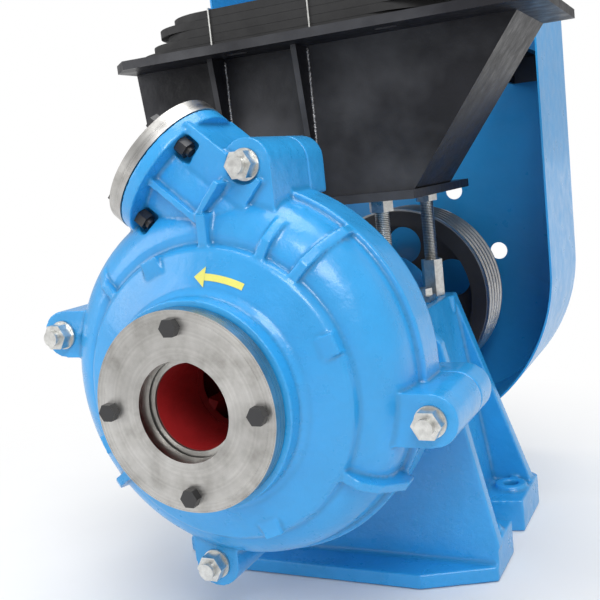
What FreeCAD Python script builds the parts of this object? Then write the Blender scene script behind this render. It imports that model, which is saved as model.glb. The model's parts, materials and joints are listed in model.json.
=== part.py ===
import FreeCAD, Part
import math
import os
import re
import Sketcher

# Horizontal slurry pump with an overhead motor platform and a belt drive.
# Millimetres. The shaft runs along +Y, away from the intake. +Z is up and +X is to the right
# of someone who faces the intake. The origin is the centre of the intake flange's face.

doc = FreeCAD.newDocument("SlurryPump")
sheet = doc.addObject("Spreadsheet::Sheet", "Sizes")

SIZES = [
    # joint planes and fits
    ("parting_y", 205, "plane where the two casing halves meet"),
    ("gap", 0.3, "clear space between faces of different moving bodies"),
    ("fit", 0.05, "radial clearance of a running fit"),
    ("seal_thick", 2, "thickness of a joint seal"),
    ("over", 1, "how far a cutting tool runs past a face"),
    ("bury", 5, "how far one part of a casting runs into another"),
    # intake
    ("intake_r", 114.5, "intake ring, outside radius"),
    ("intake_thick", 20, "intake ring, thickness"),
    ("intake_bore_r", 57.8, "intake ring, bore radius"),
    ("intake_bolt_r", 95.5, "intake ring, radius of the bolt circle"),
    ("intake_hole_r", 7, "intake ring, radius of a bolt hole"),
    ("throat_r", 51, "radius of the throat"),
    ("bush_neck_r", 66, "throatbush neck, outside radius"),
    ("boss_r", 122, "intake boss of the cover, radius"),
    # casing
    ("casing_x", -4, "casing centre, across"),
    ("casing_z", 9, "casing centre, up"),
    ("rim_r", 234, "cover rim, radius"),
    ("rim_y", 150, "cover rim, front face"),
    ("dome_r", 174, "radius of the cover's raised face"),
    ("dome_y", 64, "depth of the raised face at its edge"),
    ("dome_step", 14, "step from the raised face down to the bulge"),
    ("bulge_r", 224, "radius where the bulge meets the rim"),
    ("bulge_y", 130, "depth where the bulge meets the rim"),
    ("bulge_round", 60, "radius of the bulge's curve"),
    ("boss_y", 44, "depth of the cover where the intake boss meets it"),
    ("rear_rim_r", 228, "frame plate rim, radius"),
    ("rear_rim_thick", 18, "frame plate rim, thickness"),
    ("rear_dome_y", 262, "depth of the frame plate's shoulder"),
    ("rear_dome_r", 204, "radius of the frame plate's shoulder"),
    ("rear_hub_r", 165, "frame plate hub, radius"),
    ("frame_y", 318, "plane where the frame plate meets the base"),
    # lugs of the casing and the bolts through them
    ("lugs_x", 3, "centre of the lug pattern, across"),
    ("lugs_z", 17, "centre of the lug pattern, up"),
    ("lug_reach", 243, "lug centre from the casing centre, along the tab"),
    ("lug_side", 52, "lug centre from the casing centre, across the tab"),
    ("lug_r", 31, "radius of a lug"),
    ("lug_y", 104, "front face of the lugs"),
    ("rear_lug_y", 255, "rear face of the lugs"),
    ("bolt_r", 10, "cover bolt, radius"),
    ("bolt_af", 30, "cover bolt, across flats"),
    ("bolt_nut", 16, "cover nut, height"),
    ("bolt_head", 13, "cover bolt head, height"),
    ("washer_r", 18.5, "cover washer, radius"),
    ("washer_thick", 3, "cover washer, thickness"),
    # discharge
    ("discharge_angle", 49, "lean of the discharge to the left of straight up"),
    ("discharge_off", 153, "discharge axis from the shaft axis"),
    ("discharge_y", 149, "discharge axis behind the intake face"),
    ("discharge_end", 243.5, "discharge face from the shaft axis, along the discharge"),
    ("discharge_r", 89.5, "discharge ring, outside radius"),
    ("discharge_thick", 18, "discharge ring, thickness"),
    ("discharge_bore_r", 38, "discharge bore, radius"),
    ("discharge_bolt_r", 73, "discharge ring, radius of the bolt circle"),
    ("discharge_hole_r", 7, "discharge ring, radius of a bolt hole"),
    ("neck_flange", 17, "thickness of the flange on the neck"),
    ("neck_r", 64, "discharge neck, outside radius"),
    ("liner_neck_r", 48, "discharge neck of the liner, outside radius"),
    ("box_side", 78, "side of the neck's box from the discharge axis"),
    ("box_front", 96, "front face of the neck's box"),
    ("pocket_rib", 9, "thickness of the neck's two ribs"),
    ("pocket_y", 74, "front edge of the neck's two ribs"),
    ("pocket_foot", 132, "lower end of the neck's ribs, along the discharge"),
    # ribs and pads of the cover
    ("rib_thick", 13, "thickness of the cover's ribs"),
    ("pad_r", 163, "radius of the four pads"),
    ("pad_size", 25, "side of a pad"),
    ("pad_proud", 6, "height of a pad above the raised face"),
    ("pad_turn", 21, "angle of the first pad"),
    # small fasteners of the flanges
    ("small_r", 6, "flange bolt, radius"),
    ("small_af", 19, "flange bolt, across flats"),
    ("small_head", 10, "flange bolt head, height"),
    ("small_nut", 13, "flange nut, height"),
    ("nut_room", 14, "radius of the pocket round a flange nut"),
    # liner parts
    ("liner_r", 206, "volute liner, outside radius"),
    ("liner_wall", 22, "volute liner, wall"),
    ("liner_y", 96, "volute liner, front face"),
    ("volute_r", 150, "radius of the volute space"),
    ("insert_y", 222, "frame plate liner insert, front face"),
    ("insert_thick", 18, "frame plate liner insert, thickness"),
    ("bush_plate_r", 148, "throatbush plate, radius"),
    ("bush_thick", 16, "throatbush plate, thickness"),
    # impeller
    ("impeller_r", 122, "impeller, radius"),
    ("impeller_y", 115, "impeller, front face"),
    ("shroud", 12, "impeller shroud, thickness"),
    ("vane_wide", 60, "impeller vane, width between the shrouds"),
    ("vane_thick", 11, "impeller vane, thickness"),
    ("vane_count", 5, "number of impeller vanes"),
    # shaft
    ("shaft_r", 27.5, "shaft radius under the sleeve"),
    ("journal_r", 35, "shaft radius in the bearings"),
    ("drive_r", 21, "shaft radius at the drive end"),
    ("shaft_y", 165, "front end of the shaft"),
    ("journal_y", 372, "front of the thick part of the shaft"),
    ("journal_end", 640, "rear of the thick part of the shaft"),
    ("shaft_end", 846, "drive end of the shaft"),
    ("sleeve_r", 38, "shaft sleeve, outside radius"),
    ("sleeve_end", 350, "rear end of the shaft sleeve"),
    # stuffing box and gland
    ("box_r", 74, "stuffing box, outside radius"),
    ("box_bore_r", 52, "stuffing box, bore radius"),
    ("box_y", 245, "front of the stuffing box"),
    ("box_end", 342, "rear of the stuffing box"),
    ("gland_y", 344, "front of the gland's flange"),
    ("gland_thick", 10, "gland flange, thickness"),
    ("gland_ear", 64, "gland bolt from the shaft axis"),
    ("gland_bolt_r", 5, "gland bolt, radius"),
    ("packing", 12, "side of a packing ring"),
    # bearing assembly
    ("housing_r", 97, "bearing housing, radius"),
    ("housing_y", 400, "bearing housing, front end"),
    ("housing_end", 622, "bearing housing, rear end"),
    ("housing_bore_r", 62, "bearing housing, bore radius"),
    ("cover_thick", 18, "bearing end cover, thickness"),
    ("bearing_wide", 31, "bearing, width"),
    ("ear_y", 516, "clamp ear of the housing, front"),
    ("ear_long", 40, "clamp ear of the housing, length"),
    ("ear_thick", 26, "clamp ear of the housing, thickness"),
    ("ear_x", 122, "clamp ear of the housing, outer end"),
    ("clamp_x", 108, "clamp bolt from the centre line"),
    # base
    ("foot_z", 330, "shaft axis above the feet"),
    ("foot_x", 246, "half width over the feet"),
    ("foot_thick", 50, "thickness of the feet"),
    ("foot_round", 18, "corner of the rear feet"),
    ("side_foot_x", 182, "half width of the side walls at the feet"),
    ("ledge_x", 150, "half width of the front ledge at its front edge"),
    ("ledge_thick", 22, "thickness of the front ledge"),
    ("foot_front", 288, "front edge of the base"),
    ("foot_end", 641, "rear edge of the base"),
    ("foot_hole_x", 216, "foot bolt hole from the centre line"),
    ("foot_hole_y", 385, "front foot bolt holes"),
    ("foot_hole_back", 560, "rear foot bolt holes"),
    ("foot_hole_r", 11, "foot bolt hole, radius"),
    ("wall_y", 340, "front wall of the base, front face"),
    ("wall_thick", 22, "thickness of the base's end walls"),
    ("rear_wall_y", 588, "rear wall of the base, front face"),
    ("side_thick", 16, "thickness of the base's side walls"),
    ("shoulder_x", 190, "half width of the front wall at shaft height"),
    ("rear_top_x", 139, "half width of the rear wall at shaft height"),
    ("cradle_z", 28, "top of the cradle above the shaft axis"),
    ("cradle_deep", 118, "bottom of the cradle below the shaft axis"),
    # studs and platform
    ("stud_x", 111, "platform stud from the centre line"),
    ("stud_y", 375, "front platform studs"),
    ("stud_back", 580, "rear platform studs"),
    ("stud_r", 10, "platform stud, radius"),
    ("stud_top", 262, "top of the studs"),
    ("stud_bottom", 40, "bottom of the studs below the shaft axis"),
    ("stud_af", 30, "stud nut, across flats"),
    ("coupling_nut", 58, "coupling nut, height"),
    ("stud_nut", 16, "stud nut, height"),
    ("deck_z", 195, "underside of the platform's bottom plate"),
    ("deck_thick", 12, "thickness of the bottom plate"),
    ("deck_x", 172, "half width of the bottom plate"),
    ("deck_front", 336, "front edge of the bottom plate"),
    ("deck_back", 612, "rear edge of the bottom plate"),
    ("top_z", 412, "underside of the platform's top plate"),
    ("top_thick", 12, "thickness of the top plate"),
    ("top_left", 252, "left edge of the top plate"),
    ("top_right", 361, "right edge of the top plate"),
    ("top_front", 278, "front edge of the top plate"),
    ("top_back", 522, "rear edge of the top plate"),
    ("top_chamfer", 34, "cut corner of the top plate"),
    ("panel_y", 350, "front panel of the platform"),
    ("panel_back", 514, "rear panel of the platform"),
    ("panel_thick", 8, "thickness of the panels and gussets"),
    ("panel_left", 246, "left end of the panels at the top"),
    ("panel_left_low", 226, "left end of the panels at the bottom"),
    ("panel_right", 322, "right end of the panels at the top"),
    ("panel_right_low", 164, "right end of the panels at the bottom"),
    ("gusset_high", 205, "height of a gusset"),
    ("gusset_deep", 36, "depth of a gusset at its top"),
    ("motor_x", 216, "motor feet, spacing across"),
    ("motor_y", 178, "motor feet, spacing along"),
    ("motor_slot_r", 6, "motor slot, half width"),
    ("motor_slot", 34, "motor slot, end to end"),
    # pulley
    ("pulley_r", 162, "drive pulley, outside radius"),
    ("pulley_y", 724, "drive pulley, front face"),
    ("groove_pitch", 19, "distance between belt grooves"),
    ("groove_edge", 12.5, "first groove from the pulley's face"),
    ("groove_deep", 14, "depth of a groove"),
    ("groove_top", 8, "half width of a groove at its mouth"),
    ("groove_low", 4.5, "half width of a groove at its root"),
    ("groove_count", 5, "number of belt grooves"),
    ("pulley_rim", 30, "thickness of the pulley's rim with its grooves"),
    ("hub_r", 52, "pulley hub, radius"),
    ("web_thick", 16, "pulley web, thickness"),
    ("window_r", 34, "radius of a window in the web"),
    ("web_holes", 5, "number of windows in the web"),
    ("taper_bush_r", 42, "taper bush, radius at its wide end"),
    ("taper_bush_long", 76, "taper bush, length"),
    # belt guard
    ("guard_r", 283, "belt guard, outside radius"),
    ("guard_z", 50, "lower centre of the guard above the shaft axis"),
    ("guard_top", 640, "upper centre of the guard above the shaft axis"),
    ("guard_y", 658, "front edge of the guard"),
    ("guard_end", 905, "rear face of the guard"),
    ("sheet_thick", 3, "thickness of the guard's sheet"),
    ("guard_hole_r", 16, "guard hole, radius"),
    ("guard_ring_r", 143, "radius of the ring of guard holes"),
    ("bracket_x", 215, "guard bracket from the centre line"),
    ("bracket", 50, "leg of the guard bracket"),
    ("bracket_thick", 6, "thickness of the guard bracket"),
    # loose belts on the platform
    ("belt_wide", 17, "belt, width"),
    ("belt_high", 11, "belt, height"),
    ("belt_long", 300, "distance between the end centres of a laid belt"),
    ("belt_round", 74, "end radius of a laid belt"),
    ("belt_count", 5, "number of belt layers"),
    ("belt_x", -22, "middle of the belts, across"),
    ("belt_y", 398, "middle of the belts, along"),
    ("wire_r", 1, "tie wire, radius"),
]
NAMES = set()
for row, (name, number, meaning) in enumerate(SIZES, start=1):
    sheet.set("A%d" % row, name)
    sheet.set("B%d" % row, str(number))
    sheet.set("C%d" % row, meaning)
    sheet.setAlias("B%d" % row, name)
    NAMES.add(name)
doc.recompute()

X = FreeCAD.Vector(1, 0, 0)
Y = FreeCAD.Vector(0, 1, 0)
Z = FreeCAD.Vector(0, 0, 1)
TURN = {
    "x": FreeCAD.Rotation(Y, 90),
    "y": FreeCAD.Rotation(X, -90),
    "z": FreeCAD.Rotation(),
}
NODES = []


# ---------------------------------------------------------------- helpers

def ex(text):
    """Expression text in which each size name points at its cell."""
    return re.sub(r"[a-z][a-z0-9_]*", lambda m: "Sizes." + m[0] if m[0] in NAMES else m[0], str(text))


def val(text):
    """Present value of an expression of size names."""
    return float(sheet.evalExpression(str(text)))


def place(obj, at, along="z"):
    """Set an object at a bound position with its own Z axis along x, y or z."""
    obj.Placement = FreeCAD.Placement(FreeCAD.Vector(), TURN[along])
    for letter, text in zip("xyz", at):
        if str(text) != "0":
            obj.setExpression("Placement.Base." + letter, ex(text))
    return obj


def turn(obj, axis, angle, at=("0", "0", "0")):
    """Turn an object about an axis through a bound position by a bound angle."""
    obj.Placement = FreeCAD.Placement(FreeCAD.Vector(), FreeCAD.Rotation(axis, 1))
    obj.setExpression("Placement.Rotation.Angle", ex(angle))
    for letter, text in zip("xyz", at):
        if str(text) != "0":
            obj.setExpression("Placement.Base." + letter, ex(text))
    return obj


def cyl(name, radius, height, at=("0", "0", "0"), along="y"):
    obj = doc.addObject("Part::Cylinder", name)
    obj.setExpression("Radius", ex(radius))
    obj.setExpression("Height", ex(height))
    return place(obj, at, along)


def box(name, size, at):
    obj = doc.addObject("Part::Box", name)
    for side, text in zip(("Length", "Width", "Height"), size):
        obj.setExpression(side, ex(text))
    return place(obj, at)


def hexagon(name, flats, height, at, along="y"):
    """Six-sided prism, given across its flats."""
    obj = doc.addObject("Part::Prism", name)
    obj.Polygon = 6
    obj.setExpression("Circumradius", ex("(%s) / 2 / cos(30)" % flats))
    obj.setExpression("Height", ex(height))
    return place(obj, at, along)


def fuse(name, parts):
    obj = doc.addObject("Part::MultiFuse", name)
    obj.Shapes = parts
    return obj


def cut(name, base, tools):
    obj = doc.addObject("Part::Cut", name)
    obj.Base = base
    obj.Tool = tools[0] if len(tools) == 1 else fuse(name + "_tools", tools)
    return obj


def common(name, first, second):
    obj = doc.addObject("Part::Common", name)
    obj.Base = first
    obj.Tool = second
    return obj


def group(name, parts):
    """Several separate solids kept as one sub-part."""
    obj = doc.addObject("Part::Compound", name)
    obj.Links = parts
    return obj


def node(name, obj):
    """Name a finished sub-part."""
    obj.Label = name
    NODES.append(obj)
    return obj


def outline(body, plane, points):
    """Closed sketch on one of the body's origin planes.

    Each point is (across, up) or (across, up, radius, side). With a radius, the run to the next
    point is an arc of that radius whose centre lies on the left (side 1) or right (side -1).
    """
    sketch = body.newObject("Sketcher::SketchObject", body.Name + "_sketch")
    support = [f for f in body.Origin.OriginFeatures if f.Role == plane + "_Plane"][0]
    sketch.AttachmentSupport = (support, [""])
    sketch.MapMode = "FlatFace"
    spots = [FreeCAD.Vector(val(p[0]), val(p[1]), 0) for p in points]
    count = len(points)
    for i, point in enumerate(points):
        start = spots[i]
        end = spots[(i + 1) % count]
        if len(point) == 2:
            sketch.addGeometry(Part.LineSegment(start, end), False)
            continue
        radius = val(point[2])
        chord = end - start
        normal = FreeCAD.Vector(-chord.y, chord.x, 0).normalize() * point[3]
        height = math.sqrt(max(radius ** 2 - (chord.Length / 2) ** 2, 0))
        centre = (start + end) * 0.5 + normal * height
        middle = centre - normal * radius
        sketch.addGeometry(Part.Arc(start, middle, end), False)
    ends = []
    for i, point in enumerate(points):
        # an arc always runs anticlockwise, so one that bends to the right is stored backwards
        back = len(point) == 4 and point[3] < 0
        ends.append((2, 1) if back else (1, 2))
    for i in range(count):
        following = (i + 1) % count
        sketch.addConstraint(Sketcher.Constraint("Coincident", i, ends[i][1], following, ends[following][0]))
    for i, point in enumerate(points):
        for kind, text, number in (("DistanceX", point[0], spots[i].x), ("DistanceY", point[1], spots[i].y)):
            mark = sketch.addConstraint(Sketcher.Constraint(kind, -1, 1, i, ends[i][0], number))
            sketch.setExpression("Constraints[%d]" % mark, ex(text))
        if len(point) == 4:
            mark = sketch.addConstraint(Sketcher.Constraint("Radius", i, val(point[2])))
            sketch.setExpression("Constraints[%d]" % mark, ex(point[2]))
    return sketch


def turned(name, points, at=("0", "0", "0")):
    """Solid of revolution about an axis along Y. Points are (radius, depth)."""
    body = doc.addObject("PartDesign::Body", name)
    sketch = outline(body, "XY", points)
    feature = body.newObject("PartDesign::Revolution", name + "_turned")
    feature.Profile = sketch
    feature.ReferenceAxis = (sketch, ["V_Axis"])
    feature.Angle = 360
    return place(body, at)


def slab(name, plane, points, length, at=("0", "0", "0"), back=False):
    """Plate of an outline. On plane XZ it grows from its own Y towards -Y, or +Y with back."""
    body = doc.addObject("PartDesign::Body", name)
    sketch = outline(body, plane, points)
    feature = body.newObject("PartDesign::Pad", name + "_pad")
    feature.Profile = sketch
    feature.setExpression("Length", ex(length))
    feature.Reversed = back
    return place(body, at)


def mirrored_x(points):
    """The other half of an outline that is the same on both sides of x = 0."""
    return [("-(%s)" % p[0], p[1]) for p in reversed(points)]


def polar(radius, angle, centre=("0", "0")):
    """Bound position on a circle in the XZ plane, as (x, z)."""
    return (
        "(%s) + (%s) * cos(%s)" % (centre[0], radius, angle),
        "(%s) + (%s) * sin(%s)" % (centre[1], radius, angle),
    )


def ring_of(make, count, circle, start, centre=("0", "0")):
    """Repeat a maker round a circle. The maker takes (index, x, z)."""
    made = []
    for i in range(count):
        x, z = polar(circle, "%s + %s" % (start, i * 360 / count), centre)
        made.append(make(i, x, z))
    return made


def tube(name, outer, inner, length, at=("0", "0", "0"), along="y"):
    """Straight tube."""
    low = {
        "x": ("(%s) - over" % at[0], at[1], at[2]),
        "y": (at[0], "(%s) - over" % at[1], at[2]),
        "z": (at[0], at[1], "(%s) - over" % at[2]),
    }[along]
    return cut(
        name,
        cyl(name + "_outside", outer, length, at, along),
        [cyl(name + "_inside", inner, "(%s) + 2 * over" % length, low, along)],
    )


def stadium(name, radius, low, high, depth, at):
    """Upright plate with round ends. Its end centres are at heights low and high."""
    x, y, z = at
    return fuse(name, [
        cyl(name + "_low", radius, depth, (x, y, low)),
        cyl(name + "_high", radius, depth, (x, y, high)),
        box(name + "_mid", ("2 * (%s)" % radius, depth, "(%s) - (%s)" % (high, low)),
            ("(%s) - (%s)" % (x, radius), y, low)),
    ])


def loop(name, radius, length, wide, high, at):
    """Flat belt loop, lying down, with round ends along X."""
    x, y, z = at
    parts = []
    for kind, r, bottom, tall in (
        ("outer", radius, z, high),
        ("inner", "(%s) - (%s)" % (radius, wide), "(%s) - over" % z, "(%s) + 2 * over" % high),
    ):
        parts.append(fuse(name + "_" + kind, [
            cyl(name + kind + "_a", r, tall, ("(%s) - (%s) / 2" % (x, length), y, bottom), "z"),
            cyl(name + kind + "_b", r, tall, ("(%s) + (%s) / 2" % (x, length), y, bottom), "z"),
            box(name + kind + "_c", (length, "2 * (%s)" % r, tall),
                ("(%s) - (%s) / 2" % (x, length), "(%s) - (%s)" % (y, r), bottom)),
        ]))
    return cut(name, parts[0], [parts[1]])


FRONTWARD = FreeCAD.Vector(0, -1, 0)
CASING = ("casing_x", "casing_z")

# ---------------------------------------------------------------- intake

node("intake_ring", cut("intake_ring_cut", cyl("intake_disc", "intake_r", "intake_thick"), [
    cyl("intake_bore", "intake_bore_r", "intake_thick + 2 * over", ("0", "-over", "0")),
] + ring_of(
    lambda i, x, z: cyl("intake_hole%d" % i, "intake_hole_r", "intake_thick + 2 * over", (x, "-over", z)),
    4, "intake_bolt_r", "0",
)))

node("intake_seal", tube(
    "intake_seal_ring", "bush_neck_r", "intake_bore_r + over", "seal_thick", ("0", "intake_thick", "0"),
))

BOLT_DEEP = "intake_thick + 24"
node("intake_bolts", group("intake_bolt_set", ring_of(
    lambda i, x, z: fuse("intake_bolt%d" % i, [
        hexagon("intake_head%d" % i, "small_af", "small_head", (x, "-small_head", z)),
        cyl("intake_shank%d" % i, "small_r", BOLT_DEEP, (x, "0", z)),
    ]), 4, "intake_bolt_r", "0",
)))

# ---------------------------------------------------------------- casing

def lug_spot(i):
    """Centre of a casing lug, for i = 0 to 3 from the top one clockwise."""
    side, reach = [("lug_side", "lug_reach"), ("lug_reach", "-lug_side"),
                   ("-lug_side", "-lug_reach"), ("-lug_reach", "lug_side")][i]
    return "lugs_x + %s" % side, "lugs_z + %s" % reach


def lugs(prefix, start, end, inward="2.2 * lug_r"):
    """The four lugs between two depths, each with its web to the rim."""
    made = []
    deep = "(%s) - (%s)" % (end, start)
    for i in range(4):
        x, z = lug_spot(i)
        made.append(cyl("%s_lug%d" % (prefix, i), "lug_r", deep, (x, start, z)))
        upright = i in (0, 2)
        wide = "2 * lug_r" if upright else inward
        high = inward if upright else "2 * lug_r"
        left = {0: "%s - lug_r", 1: "%s - (" + inward + ")", 2: "%s - lug_r", 3: "%s"}[i] % x
        low = {0: "%s - (" + inward + ")", 1: "%s - lug_r", 2: "%s", 3: "%s - lug_r"}[i] % z
        made.append(box("%s_web%d" % (prefix, i), (wide, deep, high), (left, start, low)))
    return made


def bolt_holes(prefix, start, end):
    made = []
    for i in range(4):
        x, z = lug_spot(i)
        made.append(cyl("%s_hole%d" % (prefix, i), "bolt_r + 1", "(%s) - (%s) + 2 * over" % (end, start),
                        (x, "(%s) - over" % start, z)))
    return made


def neck(prefix, start, end, shoulder=True):
    """Part of the discharge neck between two depths: pipe, shoulder and flange, leaned over."""
    back = "discharge_end - discharge_thick"
    parts = [
        cyl(prefix + "_pipe", "neck_r", back + " - 60", ("discharge_off", "discharge_y", "60"), "z"),
        cyl(prefix + "_flange", "discharge_r", "neck_flange",
            ("discharge_off", "discharge_y", back + " - neck_flange"), "z"),
    ]
    if shoulder:
        parts.append(box(
            prefix + "_shoulder", ("box_side", "parting_y - box_front + over", back + " - neck_flange / 2 - 100"),
            ("discharge_off", "box_front", "100"),
        ))
    solid = fuse(prefix + "_neck_whole", parts)
    kept = common(prefix + "_neck", solid, box(
        prefix + "_neck_part", ("600", "(%s) - (%s)" % (end, start), "600"), ("-100", start, "-100"),
    ))
    return turn(kept, FRONTWARD, "discharge_angle")


def nut_pocket(name, a, b, radius):
    """Room for a nut and the bolt's end behind the neck's flange."""
    return cyl(name, radius, "small_nut + 8", (
        "discharge_off + %d * discharge_bolt_r * cos(45)" % a,
        "discharge_y + %d * discharge_bolt_r * cos(45)" % b,
        "discharge_end - discharge_thick - neck_flange - small_nut - 8",
    ), "z")


def neck_tools(prefix):
    """Bore for the liner's neck, flange bolt holes, nut pockets and room for the steel ring."""
    tools = [
        cyl(prefix + "_neck_bore", "liner_neck_r + gap", "discharge_end", ("discharge_off", "discharge_y", "100"), "z"),
        cyl(prefix + "_ring_room", "discharge_r + 4", "60",
            ("discharge_off", "discharge_y", "discharge_end - discharge_thick"), "z"),
    ]
    for i, (a, b) in enumerate(((1, 1), (1, -1), (-1, -1), (-1, 1))):
        tools.append(cyl("%s_neck_hole%d" % (prefix, i), "discharge_hole_r", "discharge_thick + 60", (
            "discharge_off + %d * discharge_bolt_r * cos(45)" % a,
            "discharge_y + %d * discharge_bolt_r * cos(45)" % b,
            "discharge_end - discharge_thick - neck_flange - 12",
        ), "z"))
        tools.append(nut_pocket("%s_pocket%d" % (prefix, i), a, b, "nut_room"))
    return turn(fuse(prefix + "_neck_tools", tools), FRONTWARD, "discharge_angle")


def rib(name, inner, outer, angle, thick="rib_thick"):
    """Upright rib on the cover's bulge, from one radius to another, at an angle."""
    shape = slab(name, "XY", [
        (inner, "dome_y + 2 * dome_step"), (inner, "dome_y + 3"), ("bulge_r - 28", "dome_y + 7"),
        ("bulge_r - 8", "dome_y + 27"), (outer, "rim_y - 16"), (outer, "rim_y + 4"), ("bulge_r - 30", "rim_y + 4"),
    ], thick)
    holder = fuse(name + "_set", [shape, box(name + "_foot", ("2", "2", thick), ("bulge_r - 20", "rim_y", "0"))])
    return turn(holder, FRONTWARD, angle, ("0", "0", "0"))


cover_shell = turned("cover_shell", [
    ("0", "dome_y + dome_step"), ("dome_r + 6", "dome_y + dome_step", "bulge_round", 1), ("bulge_r", "bulge_y"),
    ("bulge_r + 2", "rim_y"), ("rim_r - 2", "rim_y"), ("rim_r", "rim_y + 2"), ("rim_r", "parting_y"), ("0", "parting_y"),
], ("casing_x", "0", "casing_z"))
cover_dome = turned("cover_dome", [
    ("0", "boss_y"), ("boss_r + 2", "boss_y"), ("boss_r + 8", "boss_y + 6"), ("dome_r - 4", "dome_y"), ("dome_r", "dome_y + 4"),
    ("dome_r + 3", "dome_y + dome_step + over"), ("0", "dome_y + dome_step + over"),
])
cover_boss = cyl("cover_boss", "boss_r", "boss_y - intake_thick - seal_thick + bury", ("0", "intake_thick + seal_thick", "0"))
cover_pads = []
for i in range(4):
    pad = box("cover_pad%d" % i, ("pad_size", "26", "pad_size"), ("pad_r - pad_size / 2", "dome_y - pad_proud", "-pad_size / 2"))
    cover_pads.append(turn(fuse("cover_pad_set%d" % i, [
        pad, box("cover_pad_foot%d" % i, ("4", "4", "4"), ("pad_r - 2", "dome_y + 14", "-2")),
    ]), FRONTWARD, "pad_turn + %d" % (90 * i)))
RIBS = (("155", "236", "-33"), ("160", "232", "62"), ("155", "236", "47"), ("165", "236", "134"), ("155", "236", "214"))
cover_ribs = [rib("cover_rib%d" % i, a, b, c) for i, (a, b, c) in enumerate(RIBS)]
NECK_BACK = "discharge_end - discharge_thick - neck_flange / 2"
wall_a = box("neck_rib_a", ("pocket_rib", "box_front - pocket_y + 20", NECK_BACK + " - pocket_foot"),
             ("discharge_off - pocket_rib / 2", "pocket_y", "pocket_foot"))
wall_b = box("neck_rib_b", ("52", "box_front - pocket_y + 20", "pocket_rib"),
             ("discharge_off", "pocket_y", "pocket_foot"))
pocket_walls = turn(fuse("neck_ribs", [wall_a, wall_b]), FRONTWARD, "discharge_angle")
rib_one = box("cover_rib_up", ("rib_thick", "60", "44"), ("2", "dome_y + 4", "dome_r - 8"))

liner_space = turned("cover_space", [
    ("0", "liner_y"), ("volute_r + gap", "liner_y"), ("liner_r - 24", "liner_y + 12"), ("liner_r - 6", "liner_y + 34"),
    ("liner_r + gap", "liner_y + 60"), ("liner_r + gap", "parting_y + over"), ("0", "parting_y + over"),
], ("casing_x", "0", "casing_z"))
bush_space = turned("bush_space", [
    ("0", "0"), ("bush_neck_r + fit", "0"), ("bush_neck_r + fit", "liner_y - bush_thick"),
    ("bush_plate_r + gap", "liner_y - bush_thick"), ("bush_plate_r + gap", "liner_y + over"), ("0", "liner_y + over"),
])
COVER_TAPS = ring_of(
    lambda i, x, z: cyl("cover_tap%d" % i, "small_r", BOLT_DEEP + " + 4 - intake_thick", (x, "intake_thick", z)),
    4, "intake_bolt_r", "0",
)
node("cover_plate", cut("cover_plate_cut", fuse("cover_plate_solid", [
    cover_shell, cover_dome, cover_boss, pocket_walls, rib_one, neck("cover", "0", "parting_y"),
] + cover_pads + cover_ribs + lugs("cover", "lug_y", "parting_y")), [
    liner_space, bush_space, neck_tools("cover"),
] + COVER_TAPS + bolt_holes("cover", "lug_y", "parting_y") + [
    cyl("cover_seat%d" % i, "washer_r + 3", "lug_y - dome_y", (lug_spot(i)[0], "dome_y", lug_spot(i)[1])) for i in range(4)
]))

REAR = "parting_y + gap"
rear_shell = turned("rear_shell", [
    ("0", REAR), ("rear_rim_r", REAR), ("rear_rim_r", "parting_y + rear_rim_thick"),
    ("rear_dome_r + 6", "parting_y + rear_rim_thick + 12"), ("rear_dome_r", "rear_dome_y - 12"),
    ("rear_dome_r - 14", "rear_dome_y"), ("rear_hub_r - 12", "rear_dome_y + 8"), ("0", "rear_dome_y + 8"),
], ("casing_x", "0", "casing_z"))
rear_hub = turned("rear_hub", [
    ("0", "rear_dome_y - 20"), ("rear_hub_r - 26", "rear_dome_y - 20"), ("rear_hub_r - 26", "frame_y - 16"),
    ("rear_hub_r", "frame_y - 16"), ("rear_hub_r", "frame_y"), ("0", "frame_y"),
])
rear_space = turned("rear_space", [
    ("0", "parting_y - over"), ("liner_r + gap", "parting_y - over"), ("liner_r + gap", "insert_y - 12"),
    ("liner_r - 12", "insert_y"), ("volute_r + gap", "insert_y"), ("volute_r + gap", "insert_y + insert_thick"),
    ("0", "insert_y + insert_thick"),
], ("casing_x", "0", "casing_z"))
box_space = turned("box_space", [
    ("0", "insert_y"), ("box_r + fit", "insert_y"), ("box_r + fit", "frame_y - 14"),
    ("box_r + 34", "frame_y - 14"), ("box_r + 34", "frame_y + over"), ("0", "frame_y + over"),
])
FRAME_BOLTS = 6
HUB_BOLT_R = "rear_hub_r - 12"
node("frame_plate", cut("frame_plate_cut", fuse("frame_plate_solid", [
    rear_shell, rear_hub, neck("rear", REAR, "discharge_y + discharge_r + 4", shoulder=False),
] + lugs("rear", REAR, "rear_lug_y", "1.4 * lug_r")), [
    rear_space, box_space, neck_tools("rear"),
] + bolt_holes("rear", "parting_y", "rear_lug_y") + ring_of(
    lambda i, x, z: cyl("rear_frame_hole%d" % i, "small_r + 0.5", "30", (x, "frame_y - 16 - over", z)),
    FRAME_BOLTS, HUB_BOLT_R, "30",
)))

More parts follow.
